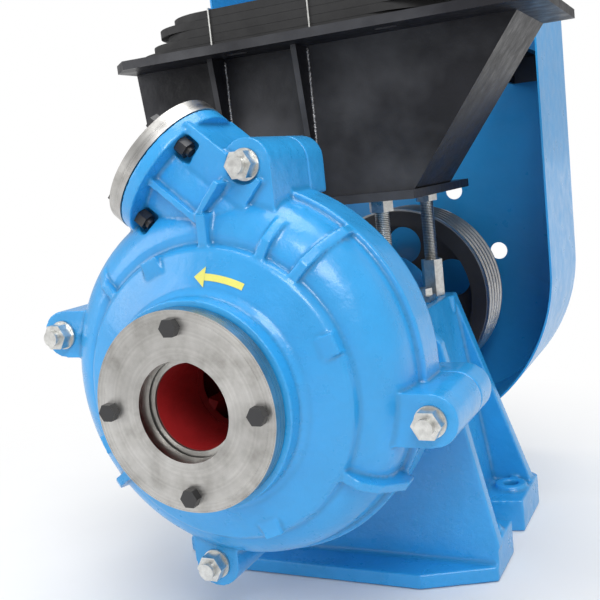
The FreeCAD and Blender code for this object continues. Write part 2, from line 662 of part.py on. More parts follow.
# studs with a rear head, front washers and nuts
STUD_Y = "lug_y - washer_thick - bolt_nut - 8"
node("cover_bolts", group("cover_bolt_set", [fuse("cover_bolt%d" % i, [
    cyl("cover_shank%d" % i, "bolt_r", "rear_lug_y - (%s)" % STUD_Y, (lug_spot(i)[0], STUD_Y, lug_spot(i)[1])),
    hexagon("cover_head%d" % i, "bolt_af", "bolt_head", (lug_spot(i)[0], "rear_lug_y", lug_spot(i)[1])),
]) for i in range(4)]))
node("cover_washers", group("cover_washer_set", [tube(
    "cover_washer%d" % i, "washer_r", "bolt_r + gap", "washer_thick",
    (lug_spot(i)[0], "lug_y - washer_thick", lug_spot(i)[1]),
) for i in range(4)]))
node("cover_nuts", group("cover_nut_set", [cut("cover_nut%d" % i, hexagon(
    "cover_nut_hex%d" % i, "bolt_af", "bolt_nut",
    (lug_spot(i)[0], "lug_y - washer_thick - bolt_nut", lug_spot(i)[1]),
), [cyl("cover_nut_bore%d" % i, "bolt_r + fit", "bolt_nut + 2 * over",
        (lug_spot(i)[0], "lug_y - washer_thick - bolt_nut - over", lug_spot(i)[1]))]) for i in range(4)]))

# ---------------------------------------------------------------- discharge flange

FACE = "discharge_end - discharge_thick"
discharge_tools = [cyl("discharge_bore", "discharge_bore_r", "discharge_thick + 2 * over",
                       ("discharge_off", "discharge_y", FACE + " - over"), "z")]
discharge_bolts = []
discharge_nuts = []
for i, (a, b) in enumerate(((1, 1), (1, -1), (-1, -1), (-1, 1))):
    x = "discharge_off + %d * discharge_bolt_r * cos(45)" % a
    y = "discharge_y + %d * discharge_bolt_r * cos(45)" % b
    under = "discharge_end - discharge_thick - neck_flange"
    discharge_tools.append(cyl("discharge_hole%d" % i, "discharge_hole_r", "discharge_thick + 2 * over",
                               (x, y, FACE + " - over"), "z"))
    discharge_bolts.append(fuse("discharge_bolt%d" % i, [
        cyl("discharge_shank%d" % i, "small_r", "discharge_thick + neck_flange + small_nut + 5",
            (x, y, "discharge_end - discharge_thick - neck_flange - small_nut - 5"), "z"),
        hexagon("discharge_head%d" % i, "small_af", "small_head", (x, y, "discharge_end"), "z"),
    ]))
    discharge_nuts.append(cut("discharge_nut%d" % i, hexagon(
        "discharge_nut_hex%d" % i, "small_af", "small_nut", (x, y, under + " - small_nut"), "z",
    ), [cyl("discharge_nut_bore%d" % i, "small_r + fit", "small_nut + 2 * over",
            (x, y, under + " - small_nut - over"), "z")]))
node("discharge_ring", turn(cut("discharge_ring_cut", cyl(
    "discharge_disc", "discharge_r", "discharge_thick", ("discharge_off", "discharge_y", FACE), "z",
), discharge_tools), FRONTWARD, "discharge_angle"))
node("discharge_bolts", turn(group("discharge_bolt_set", discharge_bolts), FRONTWARD, "discharge_angle"))
node("discharge_nuts", turn(group("discharge_nut_set", discharge_nuts), FRONTWARD, "discharge_angle"))

# ---------------------------------------------------------------- wet end, inside

node("throatbush", turned("throatbush_turned", [
    ("throat_r", "intake_thick + seal_thick + gap"), ("bush_neck_r", "intake_thick + seal_thick + gap"),
    ("bush_neck_r", "liner_y - bush_thick + gap"), ("bush_plate_r", "liner_y - bush_thick + gap"),
    ("bush_plate_r", "liner_y - gap"), ("bush_neck_r + 20", "liner_y - gap"),
    ("bush_neck_r + 6", "impeller_y - 3"), ("throat_r", "impeller_y - 3"),
]))

liner_shell = turned("liner_shell", [
    ("bush_neck_r + 46", "liner_y + gap"), ("volute_r", "liner_y + gap"), ("liner_r - 24 - gap", "liner_y + 12 + gap"),
    ("liner_r - 6 - gap", "liner_y + 34 + gap"), ("liner_r", "liner_y + 60"), ("liner_r", "insert_y - 12 - gap"),
    ("liner_r - 12", "insert_y - gap"), ("volute_r - 20", "insert_y - gap"),
    ("volute_r - 20", "insert_y - 12"), ("liner_r - liner_wall", "insert_y - 24"),
    ("liner_r - liner_wall", "liner_y + 52"), ("volute_r", "liner_y + 18"), ("bush_neck_r + 46", "liner_y + 14"),
], ("casing_x", "0", "casing_z"))
liner_neck = turn(fuse("liner_neck_leaned", [
    cyl("liner_neck_pipe", "liner_neck_r", "discharge_end - discharge_thick - gap - 120",
        ("discharge_off", "discharge_y", "120"), "z"),
    cyl("liner_neck_root", "liner_neck_r", "gap", ("discharge_off", "discharge_y", "120"), "z"),
]), FRONTWARD, "discharge_angle")
liner_bore = turn(fuse("liner_bore_leaned", [
    cyl("liner_bore_pipe", "discharge_bore_r + over", "discharge_end", ("discharge_off", "discharge_y", "60"), "z"),
    cyl("liner_bore_root", "discharge_bore_r + over", "gap", ("discharge_off", "discharge_y", "60"), "z"),
]), FRONTWARD, "discharge_angle")
liner_hollow = turned("liner_hollow", [
    ("0", "liner_y + 14"), ("volute_r - 20", "liner_y + 14"), ("volute_r", "liner_y + 18"),
    ("liner_r - liner_wall", "liner_y + 52"), ("liner_r - liner_wall", "insert_y - 24"),
    ("volute_r - 20", "insert_y - 12"), ("0", "insert_y - 12"),
], ("casing_x", "0", "casing_z"))
liner_pockets = turn(fuse("liner_pockets", [
    nut_pocket("liner_pocket0", -1, 1, "nut_room + 2"), nut_pocket("liner_pocket1", -1, -1, "nut_room + 2"),
]), FRONTWARD, "discharge_angle")
node("volute_liner", cut("volute_liner_cut", fuse("volute_liner_solid", [liner_shell, liner_neck]),
                         [liner_bore, liner_hollow, liner_pockets]))

IMPELLER_BACK = "impeller_y + 2 * shroud + vane_wide"
HUB_R = "shaft_r + 14"
vanes = []
for i in range(int(val("vane_count"))):
    vane = slab("vane%d" % i, "XZ", [
        ("throat_r - 12", "0"), ("throat_r + 18", "14"), ("impeller_r - 26", "18"), ("impeller_r - 3", "12"),
        ("impeller_r - 1", "12 - vane_thick"), ("impeller_r - 28", "18 - vane_thick"),
        ("throat_r + 18", "14 - vane_thick"), ("throat_r - 4", "-vane_thick"),
    ], "vane_wide + 4", ("0", "impeller_y + shroud - 2", "0"), back=True)
    vanes.append(turn(group("vane_set%d" % i, [vane]), FRONTWARD, "%s * 360 / vane_count" % i))
node("impeller", cut("impeller_cut", fuse("impeller_solid", [
    tube("impeller_front", "impeller_r", "throat_r", "shroud", ("0", "impeller_y", "0")),
    cyl("impeller_rear", "impeller_r", "shroud", ("0", "impeller_y + shroud + vane_wide", "0")),
    cyl("impeller_hub", HUB_R, "vane_wide * 0.66", ("0", "impeller_y + shroud + vane_wide * 0.4", "0")),
] + vanes), [cyl("impeller_socket", "shaft_r + fit", "60", ("0", "shaft_y - 2", "0"))]))

node("liner_insert", cut("liner_insert_cut", cyl(
    "liner_insert_disc", "volute_r", "insert_thick - gap", ("casing_x", "insert_y + gap / 2", "casing_z"),
), [cyl("liner_insert_bore", "sleeve_r + 4", "insert_thick + 2 * over", ("0", "insert_y - over", "0"))]))

node("stuffing_box", cut("stuffing_box_cut", fuse("stuffing_box_solid", [
    cyl("stuffing_pipe", "box_r", "box_end - box_y", ("0", "box_y", "0")),
    cyl("stuffing_flange", "box_r + 33", "12", ("0", "frame_y - 14 + gap", "0")),
]), [
    cyl("stuffing_neck", "sleeve_r + 1", "box_end - box_y + 2 * over", ("0", "box_y - over", "0")),
    cyl("stuffing_bore", "box_bore_r", "box_end - box_y", ("0", "box_y + 12", "0")),
] + [cyl("gland_tap%d" % i, "gland_bolt_r", "34", ("%d * gland_ear" % a, "box_end - 32", "0"))
     for i, a in enumerate((1, -1))]))

PACK_Y = "box_y + 12"
node("lantern_ring", tube("lantern_ring_tube", "box_bore_r - gap", "sleeve_r + 1", "packing", ("0", PACK_Y + " + gap", "0")))
node("packing_rings", group("packing_ring_set", [tube(
    "packing_ring%d" % i, "box_bore_r - fit", "sleeve_r + fit", "packing",
    ("0", "%s + packing + 2 * gap + %d * (packing + gap)" % (PACK_Y, i), "0"),
) for i in range(4)]))

GLAND_NOSE = "box_y + 12 + 5 * packing + 7 * gap"
gland_body = fuse("gland_solid", [
    cyl("gland_nose", "box_bore_r - gap", "gland_y - (%s)" % GLAND_NOSE, ("0", GLAND_NOSE, "0")),
    cyl("gland_disc", "box_bore_r + 4", "gland_thick", ("0", "gland_y", "0")),
    box("gland_bar", ("2 * gland_ear", "gland_thick", "30"), ("-gland_ear", "gland_y", "-15")),
] + [cyl("gland_round%d" % i, "15", "gland_thick", ("%d * gland_ear" % a, "gland_y", "0"))
     for i, a in enumerate((1, -1))])
node("gland", cut("gland_cut", gland_body, [
    cyl("gland_bore", "sleeve_r + 1", "120", ("0", "box_y", "0")),
] + [cyl("gland_slot%d" % i, "gland_bolt_r + 0.5", "gland_thick + 2 * over",
         ("%d * gland_ear" % a, "gland_y - over", "0")) for i, a in enumerate((1, -1))]))
node("gland_studs", group("gland_stud_set", [cyl(
    "gland_stud%d" % i, "gland_bolt_r", "gland_y + gland_thick - box_end + 54", ("%d * gland_ear" % a, "box_end - 32", "0"),
) for i, a in enumerate((1, -1))]))
node("gland_nuts", group("gland_nut_set", [cut("gland_nut%d" % i, hexagon(
    "gland_nut_hex%d" % i, "16", "8", ("%d * gland_ear" % a, "gland_y + gland_thick", "0"),
), [cyl("gland_nut_bore%d" % i, "gland_bolt_r + fit", "10", ("%d * gland_ear" % a, "gland_y + gland_thick - over", "0"))])
    for i, a in enumerate((1, -1))]))

node("shaft_sleeve", tube("shaft_sleeve_tube", "sleeve_r", "shaft_r + fit",
                          "sleeve_end - (%s) - gap" % IMPELLER_BACK, ("0", IMPELLER_BACK + " + gap", "0")))

# ---------------------------------------------------------------- shaft and drive

KEY = 12
node("shaft", cut("shaft_cut", turned("shaft_turned", [
    ("0", "shaft_y"), ("shaft_r - 2", "shaft_y"), ("shaft_r", "shaft_y + 2"), ("shaft_r", "sleeve_end + gap"),
    ("sleeve_r", "sleeve_end + gap"), ("sleeve_r", "journal_y"), ("journal_r", "journal_y"), ("journal_r", "journal_end"),
    ("drive_r + 4", "journal_end"), ("drive_r + 4", "journal_end + 50"), ("drive_r", "journal_end + 50"),
    ("drive_r", "shaft_end - 2"), ("drive_r - 2", "shaft_end"), ("0", "shaft_end"),
]), [box("shaft_keyway", ("12", "104", "10"), ("-6", "shaft_end - 110", "drive_r - 5"))]))
node("shaft_key", fuse("shaft_key_bar", [box("shaft_key_low", ("12 - 2 * fit", "94", "5"), ("-6 + fit", "shaft_end - 106", "drive_r - 5")),
                                         box("shaft_key_high", ("12 - 2 * fit", "94", "3"), ("-6 + fit", "shaft_end - 106", "drive_r - 0.5"))]))

PULLEY_WIDE = "2 * groove_edge + (groove_count - 1) * groove_pitch"
rim_points = [("pulley_r - pulley_rim", "0"), ("pulley_r", "0")]
for i in range(int(val("groove_count"))):
    mid = "groove_edge + %d * groove_pitch" % i
    rim_points += [
        ("pulley_r", mid + " - groove_top"), ("pulley_r - groove_deep", mid + " - groove_low"),
        ("pulley_r - groove_deep", mid + " + groove_low"), ("pulley_r", mid + " + groove_top"),
    ]
rim_points += [("pulley_r", PULLEY_WIDE), ("pulley_r - pulley_rim", PULLEY_WIDE)]
WEB_Y = "pulley_y + (%s) / 2 - web_thick / 2" % PULLEY_WIDE
BUSH_Y = "pulley_y + 14"
node("pulley", cut("pulley_cut", fuse("pulley_solid", [
    turned("pulley_rim_turned", rim_points, ("0", "pulley_y", "0")),
    cyl("pulley_web", "pulley_r - pulley_rim + 4", "web_thick", ("0", WEB_Y, "0")),
    cyl("pulley_hub", "hub_r", "taper_bush_long", ("0", BUSH_Y, "0")),
]), [turned("pulley_taper", [
    ("0", "-over"), ("taper_bush_r + gap", "-over"), ("taper_bush_r - 5 + gap", "taper_bush_long + over"),
    ("0", "taper_bush_long + over"),
], ("0", BUSH_Y, "0"))] + ring_of(
    lambda i, x, z: cyl("pulley_window%d" % i, "window_r", "web_thick + 2 * over", (x, "(%s) - over" % WEB_Y, z)),
    int(val("web_holes")), "(pulley_r - pulley_rim + hub_r) / 2", "18",
)))
node("taper_bush", cut("taper_bush_cut", turned("taper_bush_turned", [
    ("drive_r + fit", "0"), ("taper_bush_r", "0"), ("taper_bush_r - 5", "taper_bush_long"), ("drive_r + fit", "taper_bush_long"),
], ("0", BUSH_Y, "0")), [box("taper_bush_key", ("12 + gap", "200", "5"), ("-6 - gap / 2", "pulley_y", "drive_r - 2")),
                         box("taper_bush_slit", ("30", "200", "2"), ("-taper_bush_r - 4", "pulley_y", "-1"))]))

# ---------------------------------------------------------------- bearing assembly

HOUSING = "housing_end - housing_y"
LUG_Z = "housing_r + 26"
ear_boxes = []
for i, a in enumerate((1, -1)):
    ear_boxes.append(box("housing_ear%d" % i, ("ear_x - 80", "ear_long", "ear_thick"),
                         ("80" if a > 0 else "-ear_x", "ear_y", "0")))
housing_holes = [
    cyl("housing_bore", "housing_bore_r", HOUSING + " + 2 * over", ("0", "housing_y - over", "0")),
    cyl("housing_plug_hole", "8", "60", ("40", "(housing_y + housing_end) / 2", "housing_r - 45"), "z"),
    cyl("housing_screw_hole", "bolt_r + 1", "40", ("0", "490", "-(%s) + 8" % LUG_Z)),
]
for i, a in enumerate((1, -1)):
    housing_holes.append(box("housing_slot%d" % i, ("18", "26", "40"), ("%d * clamp_x - 9" % a, "ear_y + 7", "-over")))
for i, y in enumerate(("housing_y - over", "housing_end - 24")):
    housing_holes += ring_of(
        lambda k, x, z: cyl("housing_tap%d_%d" % (i, k), "small_r", "25", (x, y, z)), 6, "housing_r - 16", "30",
    )
node("bearing_housing", cut("bearing_housing_cut", fuse("bearing_housing_solid", [
    cyl("housing_body", "housing_r", HOUSING, ("0", "housing_y", "0")),
    box("housing_lug", ("44", "16", "56"), ("-22", "500", "-(%s) - 6" % LUG_Z)),
    box("housing_boss", ("30", "30", "24"), ("25", "(housing_y + housing_end) / 2 - 15", "housing_r - 22")),
] + ear_boxes), housing_holes))
node("grease_plug", fuse("grease_plug_solid", [
    cyl("plug_shank", "8 - fit", "18", ("40", "(housing_y + housing_end) / 2", "housing_r - 15"), "z"),
    hexagon("plug_head", "19", "10", ("40", "(housing_y + housing_end) / 2", "housing_r + 2"), "z"),
]))

covers = []
for i, (name, start) in enumerate((("bearing_cover_front", "housing_y - cover_thick"), ("bearing_cover_rear", "housing_end"))):
    spigot = "housing_y" if i == 0 else "housing_end - 8"
    node(name, cut(name + "_cut", fuse(name + "_solid", [
        cyl(name + "_disc", "housing_r - 3", "cover_thick", ("0", start, "0")),
        cyl(name + "_spigot", "housing_bore_r - fit", "8", ("0", spigot, "0")),
    ]), [cyl(name + "_bore", "journal_r + 12", "60", ("0", "(%s) - 20" % start, "0"))] + ring_of(
        lambda k, x, z: cyl("%s_hole%d" % (name, k), "small_r + 0.5", "cover_thick + 2 * over", (x, "(%s) - over" % start, z)),
        6, "housing_r - 16", "30",
    )))
SCREW = "cover_thick + 20"
node("bearing_cover_screws", group("bearing_screw_set", ring_of(
    lambda i, x, z: fuse("front_screw%d" % i, [
        cyl("front_screw_shank%d" % i, "small_r", SCREW, (x, "housing_y - cover_thick", z)),
        hexagon("front_screw_head%d" % i, "small_af", "8", (x, "housing_y - cover_thick - 8", z)),
    ]), 6, "housing_r - 16", "30",
) + ring_of(
    lambda i, x, z: fuse("rear_screw%d" % i, [
        cyl("rear_screw_shank%d" % i, "small_r", SCREW, (x, "housing_end - 20", z)),
        hexagon("rear_screw_head%d" % i, "small_af", "8", (x, "housing_end + cover_thick", z)),
    ]), 6, "housing_r - 16", "30",
)))
BEARINGS = ("housing_y + 8 + gap", "housing_end - 8 - gap - bearing_wide")
node("bearing_outer_rings", group("bearing_outer_set", [tube(
    "bearing_outer%d" % i, "housing_bore_r - fit", "housing_bore_r - 7", "bearing_wide", ("0", y, "0"),
) for i, y in enumerate(BEARINGS)]))
node("bearing_inner_rings", group("bearing_inner_set", [tube(
    "bearing_inner%d" % i, "journal_r + 7", "journal_r + fit", "bearing_wide", ("0", y, "0"),
) for i, y in enumerate(BEARINGS)]))
ROLLER = "(housing_bore_r - 7 - journal_r - 7) / 2 - fit"
rollers = []
for i, y in enumerate(BEARINGS):
    rollers += ring_of(
        lambda k, x, z: cyl("roller%d_%d" % (i, k), ROLLER, "bearing_wide - 6", (x, "(%s) + 3" % y, z)),
        14, "(housing_bore_r + journal_r) / 2", "0",
    )
node("bearing_rollers", group("bearing_roller_set", rollers))
node("labyrinths", group("labyrinth_set", [tube(
    "labyrinth%d" % i, "journal_r + 11", "journal_r + fit", "14", ("0", y, "0"),
) for i, y in enumerate(("housing_y - cover_thick - 4", "housing_end + 6"))]))

# ---------------------------------------------------------------- base

FLOOR = "-foot_z"
FOOT_TOP = "-foot_z + foot_thick"
foot_half = [
    ("foot_x", "wall_y"), ("foot_x", "foot_hole_y + 45"), ("side_foot_x - 6", "foot_hole_y + 59"),
    ("side_foot_x - 6", "foot_hole_back - 69"), ("foot_x", "foot_hole_back - 55"), ("foot_x", "foot_end - foot_round"),
    ("foot_x - foot_round", "foot_end"),
]
ledge_half = [("ledge_x", "foot_front"), ("foot_x", "wall_y - 5"), ("foot_x", "wall_y + 5")]
feet = slab("base_feet", "XY", foot_half + mirrored_x(foot_half), "foot_thick", ("0", "0", FLOOR))
ledge = slab("base_front_ledge", "XY", ledge_half + mirrored_x(ledge_half), "ledge_thick", ("0", "0", FLOOR))
front_half = [("foot_x + 3", FOOT_TOP + " - bury"), ("shoulder_x + 24", "-cradle_deep"), ("shoulder_x", "0"),
              ("shoulder_x - 24", "cradle_z")]
front_wall = slab("base_front", "XZ", front_half + mirrored_x(front_half), "wall_thick",
                  ("0", "wall_y", "0"), back=True)
rear_half = [("foot_x - 2", FOOT_TOP + " - bury"), ("rear_top_x", "cradle_z")]
rear_wall = slab("base_rear", "XZ", rear_half + mirrored_x(rear_half), "wall_thick", ("0", "rear_wall_y", "0"), back=True)
side_walls = []
for i, a in enumerate((1, -1)):
    points = [("side_foot_x", FOOT_TOP + " - bury"), ("rear_top_x", "cradle_z"), ("rear_top_x - side_thick", "cradle_z"),
              ("side_foot_x - side_thick", FOOT_TOP + " - bury")]
    if a < 0:
        points = mirrored_x(points)
    side_walls.append(slab("base_side%d" % i, "XZ", points, "rear_wall_y - wall_y - 18",
                           ("0", "wall_y + 20", "0"), back=True))
saddle_half = [("rear_top_x + 12", "-cradle_deep"), ("rear_top_x - 4", "cradle_z")]
saddles = [
    slab("base_saddle_front", "XZ", saddle_half + mirrored_x(saddle_half), "24", ("0", "housing_y + 4", "0"), back=True),
    slab("base_saddle_rear", "XZ", saddle_half + mirrored_x(saddle_half), "30", ("0", "rear_wall_y - 28", "0"), back=True),
]
decks = []
for i, a in enumerate((1, -1)):
    decks.append(box("base_deck%d" % i, ("46", "50", "50"), ("stud_x - 20" if a > 0 else "-stud_x - 26", "stud_y - 20", "cradle_z - 50")))
    decks.append(box("base_ledge%d" % i, ("46", "60", "40"), ("90" if a > 0 else "-136", "ear_y - 28", "-40 - gap")))
    for k, y in enumerate(("foot_hole_y", "foot_hole_back")):
        decks.append(cyl("foot_boss%d%d" % (i, k), "foot_hole_r + 14", "10", ("%d * foot_hole_x" % a, y, FOOT_TOP + " - 2"), "z"))
    decks.append(cyl("corner_boss%d" % i, "13", "cradle_z", ("%d * (rear_top_x - 6)" % a, "rear_wall_y - 12", "0"), "z"))
    decks.append(box("front_lug%d" % i, ("24", "24", "150"), ("84" if a > 0 else "-108", "frame_y + 14", "0")))
screw_wall = box("screw_lug", ("60", "20", "50"), ("-30", "rear_wall_y - 50", "-(%s) - 20" % LUG_Z))
screw_arm = box("screw_arm", ("60", "60", "30"), ("-30", "rear_wall_y - 50", "-(%s) - 30" % LUG_Z))
base_tools = [
    box("base_hollow", ("2 * (side_foot_x - side_thick - 6)", "rear_wall_y - wall_y - wall_thick", "foot_thick + 2 * over"),
        ("-(side_foot_x - side_thick - 6)", "wall_y + wall_thick", FLOOR + " - over")),
    cyl("base_bore", "housing_r + gap", "400", ("0", "wall_y - 22", "0")),
    cyl("screw_hole", "bolt_r", "130", ("0", "rear_wall_y - 60", "-(%s) + 8" % LUG_Z)),
]
for i, a in enumerate((1, -1)):
    for k, y in enumerate(("foot_hole_y", "foot_hole_back")):
        base_tools.append(cyl("foot_hole%d%d" % (i, k), "foot_hole_r", "foot_thick + 20", ("%d * foot_hole_x" % a, y, FLOOR + " - over"), "z"))
        base_tools.append(cyl("stud_tap%d%d" % (i, k), "stud_r", "100", ("%d * stud_x" % a, ("stud_y", "stud_back")[k], "-stud_bottom"), "z"))
    base_tools.append(cyl("clamp_tap%d" % i, "small_r + 2", "80", ("%d * clamp_x" % a, "ear_y + 20", "-40"), "z"))
front_ring = cyl("base_ring", "rear_hub_r", "wall_y + 16 - frame_y - gap", ("0", "frame_y + gap", "0"))
node("base", cut("base_cut", fuse("base_solid", [feet, ledge, front_wall, rear_wall, front_ring, screw_wall, screw_arm]
                                  + side_walls + saddles + decks), base_tools + ring_of(
    lambda i, x, z: cyl("base_frame_hole%d" % i, "small_r", "36", (x, "frame_y - over", z)), FRAME_BOLTS, HUB_BOLT_R, "30",
)))
node("frame_bolts", group("frame_bolt_set", ring_of(
    lambda i, x, z: fuse("frame_bolt%d" % i, [
        cyl("frame_bolt_shank%d" % i, "small_r", "16 + 30", (x, "frame_y - 16", z)),
        hexagon("frame_bolt_head%d" % i, "small_af", "small_head", (x, "frame_y - 16 - small_head", z)),
    ]), FRAME_BOLTS, HUB_BOLT_R, "30",
)))

node("housing_clamps", group("clamp_set", [cut("clamp%d" % i, box(
    "clamp_plate%d" % i, ("28", "34", "9"), ("%d * clamp_x - 14" % a, "ear_y + 3", "ear_thick + gap"),
), [cyl("clamp_hole%d" % i, "small_r + 2.5", "20", ("%d * clamp_x" % a, "ear_y + 20", "ear_thick - 2"), "z")])
    for i, a in enumerate((1, -1))]))
node("clamp_bolts", group("clamp_bolt_set", [fuse("clamp_bolt%d" % i, [
    cyl("clamp_shank%d" % i, "small_r + 2", "ear_thick + 46", ("%d * clamp_x" % a, "ear_y + 20", "-34"), "z"),
    hexagon("clamp_head%d" % i, "24", "11", ("%d * clamp_x" % a, "ear_y + 20", "ear_thick + 9 + gap"), "z"),
]) for i, a in enumerate((1, -1))]))
node("adjusting_screw", cyl("adjusting_screw_rod", "bolt_r", "150", ("0", "rear_wall_y - 110", "-(%s) + 8" % LUG_Z)))
node("adjusting_nuts", group("adjusting_nut_set", [cut("adjusting_nut%d" % i, hexagon(
    "adjusting_nut_hex%d" % i, "bolt_af", "bolt_r", ("0", y, "-(%s) + 8" % LUG_Z),
), [cyl("adjusting_nut_bore%d" % i, "bolt_r + fit", "20", ("0", "(%s) - 5" % y, "-(%s) + 8" % LUG_Z))])
    for i, y in enumerate(("500 - bolt_r", "516"))]))

# ---------------------------------------------------------------- studs and platform

CORNERS = [("%d * stud_x" % a, y) for a in (1, -1) for y in ("stud_y", "stud_back")]
node("platform_studs", group("stud_set", [cyl(
    "stud%d" % i, "stud_r", "stud_top + stud_bottom", (x, y, "-stud_bottom"), "z",
) for i, (x, y) in enumerate(CORNERS)]))
node("coupling_nuts", group("coupling_set", [cut("coupling%d" % i, hexagon(
    "coupling_hex%d" % i, "stud_af", "coupling_nut", (x, y, "cradle_z"), "z",
), [cyl("coupling_bore%d" % i, "stud_r + fit", "coupling_nut + 2 * over", (x, y, "cradle_z - over"), "z")])
    for i, (x, y) in enumerate(CORNERS)]))
plate_nuts = []
for i, (x, y) in enumerate(CORNERS):
    for k, z in enumerate(("deck_z - stud_nut", "deck_z + deck_thick")):
        plate_nuts.append(cut("plate_nut%d_%d" % (i, k), hexagon(
            "plate_nut_hex%d_%d" % (i, k), "stud_af", "stud_nut", (x, y, z), "z",
        ), [cyl("plate_nut_bore%d_%d" % (i, k), "stud_r + fit", "stud_nut + 2 * over", (x, y, "(%s) - over" % z), "z")]))
node("platform_nuts", group("plate_nut_set", plate_nuts))

panel = [("-panel_left_low", "deck_z + bury"), ("panel_right_low", "deck_z + bury"),
         ("panel_right", "top_z + bury"), ("-panel_left", "top_z + bury")]
end_left = [("-panel_left_low", "deck_z + bury"), ("-panel_left", "top_z + bury"),
            ("-panel_left + panel_thick", "top_z + bury"), ("-panel_left_low + panel_thick", "deck_z + bury")]
end_right = [("panel_right_low - panel_thick", "deck_z + bury"), ("panel_right_low", "deck_z + bury"),
             ("panel_right", "top_z + bury"), ("panel_right - panel_thick", "top_z + bury")]
PANEL_DEEP = "panel_back - panel_y"
platform_parts = [
    slab("platform_front", "XZ", panel, "panel_thick", ("0", "panel_y", "0"), back=True),
    slab("platform_back", "XZ", panel, "panel_thick", ("0", "panel_back", "0"), back=True),
    slab("platform_left", "XZ", end_left, PANEL_DEEP + " + bury", ("0", "panel_y + 1", "0"), back=True),
    slab("platform_right", "XZ", end_right, PANEL_DEEP + " + bury", ("0", "panel_y + 1", "0"), back=True),
    box("platform_deck", ("deck_x + panel_left_low", "deck_back - deck_front", "deck_thick"), ("-panel_left_low", "deck_front", "deck_z")),
    slab("platform_top", "XY", [
        ("-top_left + top_chamfer", "top_front"), ("top_right - top_chamfer", "top_front"), ("top_right", "top_front + top_chamfer"),
        ("top_right", "top_back"), ("-top_left", "top_back"), ("-top_left", "top_front + top_chamfer"),
    ], "top_thick", ("0", "0", "top_z")),
]
for i, x in enumerate(("-102", "27")):
    platform_parts.append(slab("gusset%d" % i, "YZ", [
        ("panel_y + 2", "top_z - gusset_high"), ("panel_y + 2", "top_z + 4"), ("panel_y - gusset_deep", "top_z + 4"),
        ("panel_y - gusset_deep", "top_z - 4"), ("panel_y - 6", "top_z - gusset_high"),
    ], "panel_thick", (x, "0", "0")))
platform_tools = [cyl("plate_hole%d" % i, "stud_r + 1", "deck_thick + 2 * over", (x, y, "deck_z - over"), "z")
                  for i, (x, y) in enumerate(CORNERS)]
MOTOR = ("(top_right - top_left) / 2", "(top_front + top_back) / 2")
for i, (a, b) in enumerate(((1, 1), (1, -1), (-1, -1), (-1, 1))):
    x = "%s + %d * motor_x / 2" % (MOTOR[0], a)
    y = "%s + %d * motor_y / 2" % (MOTOR[1], b)
    reach = "(motor_slot / 2 - motor_slot_r)"
    platform_tools.append(fuse("motor_slot%d" % i, [
        box("motor_slot_mid%d" % i, ("2 * " + reach, "2 * motor_slot_r", "top_thick + 2 * over"),
            (x + " - " + reach, y + " - motor_slot_r", "top_z - over")),
        cyl("motor_slot_left%d" % i, "motor_slot_r", "top_thick + 2 * over", (x + " - " + reach, y, "top_z - over"), "z"),
        cyl("motor_slot_right%d" % i, "motor_slot_r", "top_thick + 2 * over", (x + " + " + reach, y, "top_z - over"), "z"),
    ]))
node("motor_platform", cut("motor_platform_cut", fuse("motor_platform_solid", platform_parts), platform_tools))

# ---------------------------------------------------------------- belt guard

DEEP = "guard_end - guard_y"
guard_tools = [stadium("guard_inside", "guard_r - sheet_thick", "guard_z", "guard_top", DEEP, ("0", "guard_y - sheet_thick", "0"))]
guard_tools += ring_of(
    lambda i, x, z: cyl("guard_hole%d" % i, "guard_hole_r", "20", (x, "guard_end - 10", z)),
    6, "guard_ring_r", "3", ("0", "guard_z"),
)
node("belt_guard", cut("belt_guard_cut", stadium("guard_outside", "guard_r", "guard_z", "guard_top", DEEP, ("0", "guard_y", "0")), guard_tools))
brackets = []
bracket_bolts = []
BRACKET_Y = "panel_back + panel_thick"
BRACKET_LONG = "guard_end - sheet_thick - (%s)" % BRACKET_Y
for i, a in enumerate((1, -1)):
    left = "%d * bracket_x - bracket / 2" % a
    middle = "%d * bracket_x" % a
    bolt_z = "top_z - bracket / 2"
    brackets.append(cut("bracket%d" % i, fuse("bracket_solid%d" % i, [
        box("bracket_flat%d" % i, ("bracket", BRACKET_LONG, "bracket_thick"), (left, BRACKET_Y, "top_z - bracket_thick")),
        box("bracket_web%d" % i, ("bracket_thick", BRACKET_LONG, "bracket"), (left, BRACKET_Y, "top_z - bracket")),
        box("bracket_tab%d" % i, ("bracket", "bracket_thick", "bracket"),
            (left, "guard_end - sheet_thick - bracket_thick", "top_z - bracket")),
        box("bracket_foot%d" % i, ("bracket", "bracket_thick", "bracket"), (left, BRACKET_Y, "top_z - bracket")),
    ]), [cyl("bracket_hole%d" % i, "small_r + 0.5", "bracket_thick + 2 * over", (middle, BRACKET_Y + " - over", bolt_z))]))
    bracket_bolts.append(fuse("bracket_bolt%d" % i, [
        cyl("bracket_shank%d" % i, "small_r", "bracket_thick + panel_thick + 14", (middle, "panel_back - 14", bolt_z)),
        hexagon("bracket_head%d" % i, "small_af", "8", (middle, BRACKET_Y + " + bracket_thick", bolt_z)),
        hexagon("bracket_nut%d" % i, "small_af", "10", (middle, "panel_back - 10", bolt_z)),
    ]))
    platform_tools.append(cyl("bracket_plate_hole%d" % i, "small_r + 0.5", "panel_thick + 2 * over",
                              (middle, "panel_back - over", bolt_z)))
doc.getObject("motor_platform_cut_tools").Shapes = platform_tools
node("guard_brackets", group("bracket_set", brackets))
node("bracket_bolts", group("bracket_bolt_set", bracket_bolts))

# ---------------------------------------------------------------- loose belts

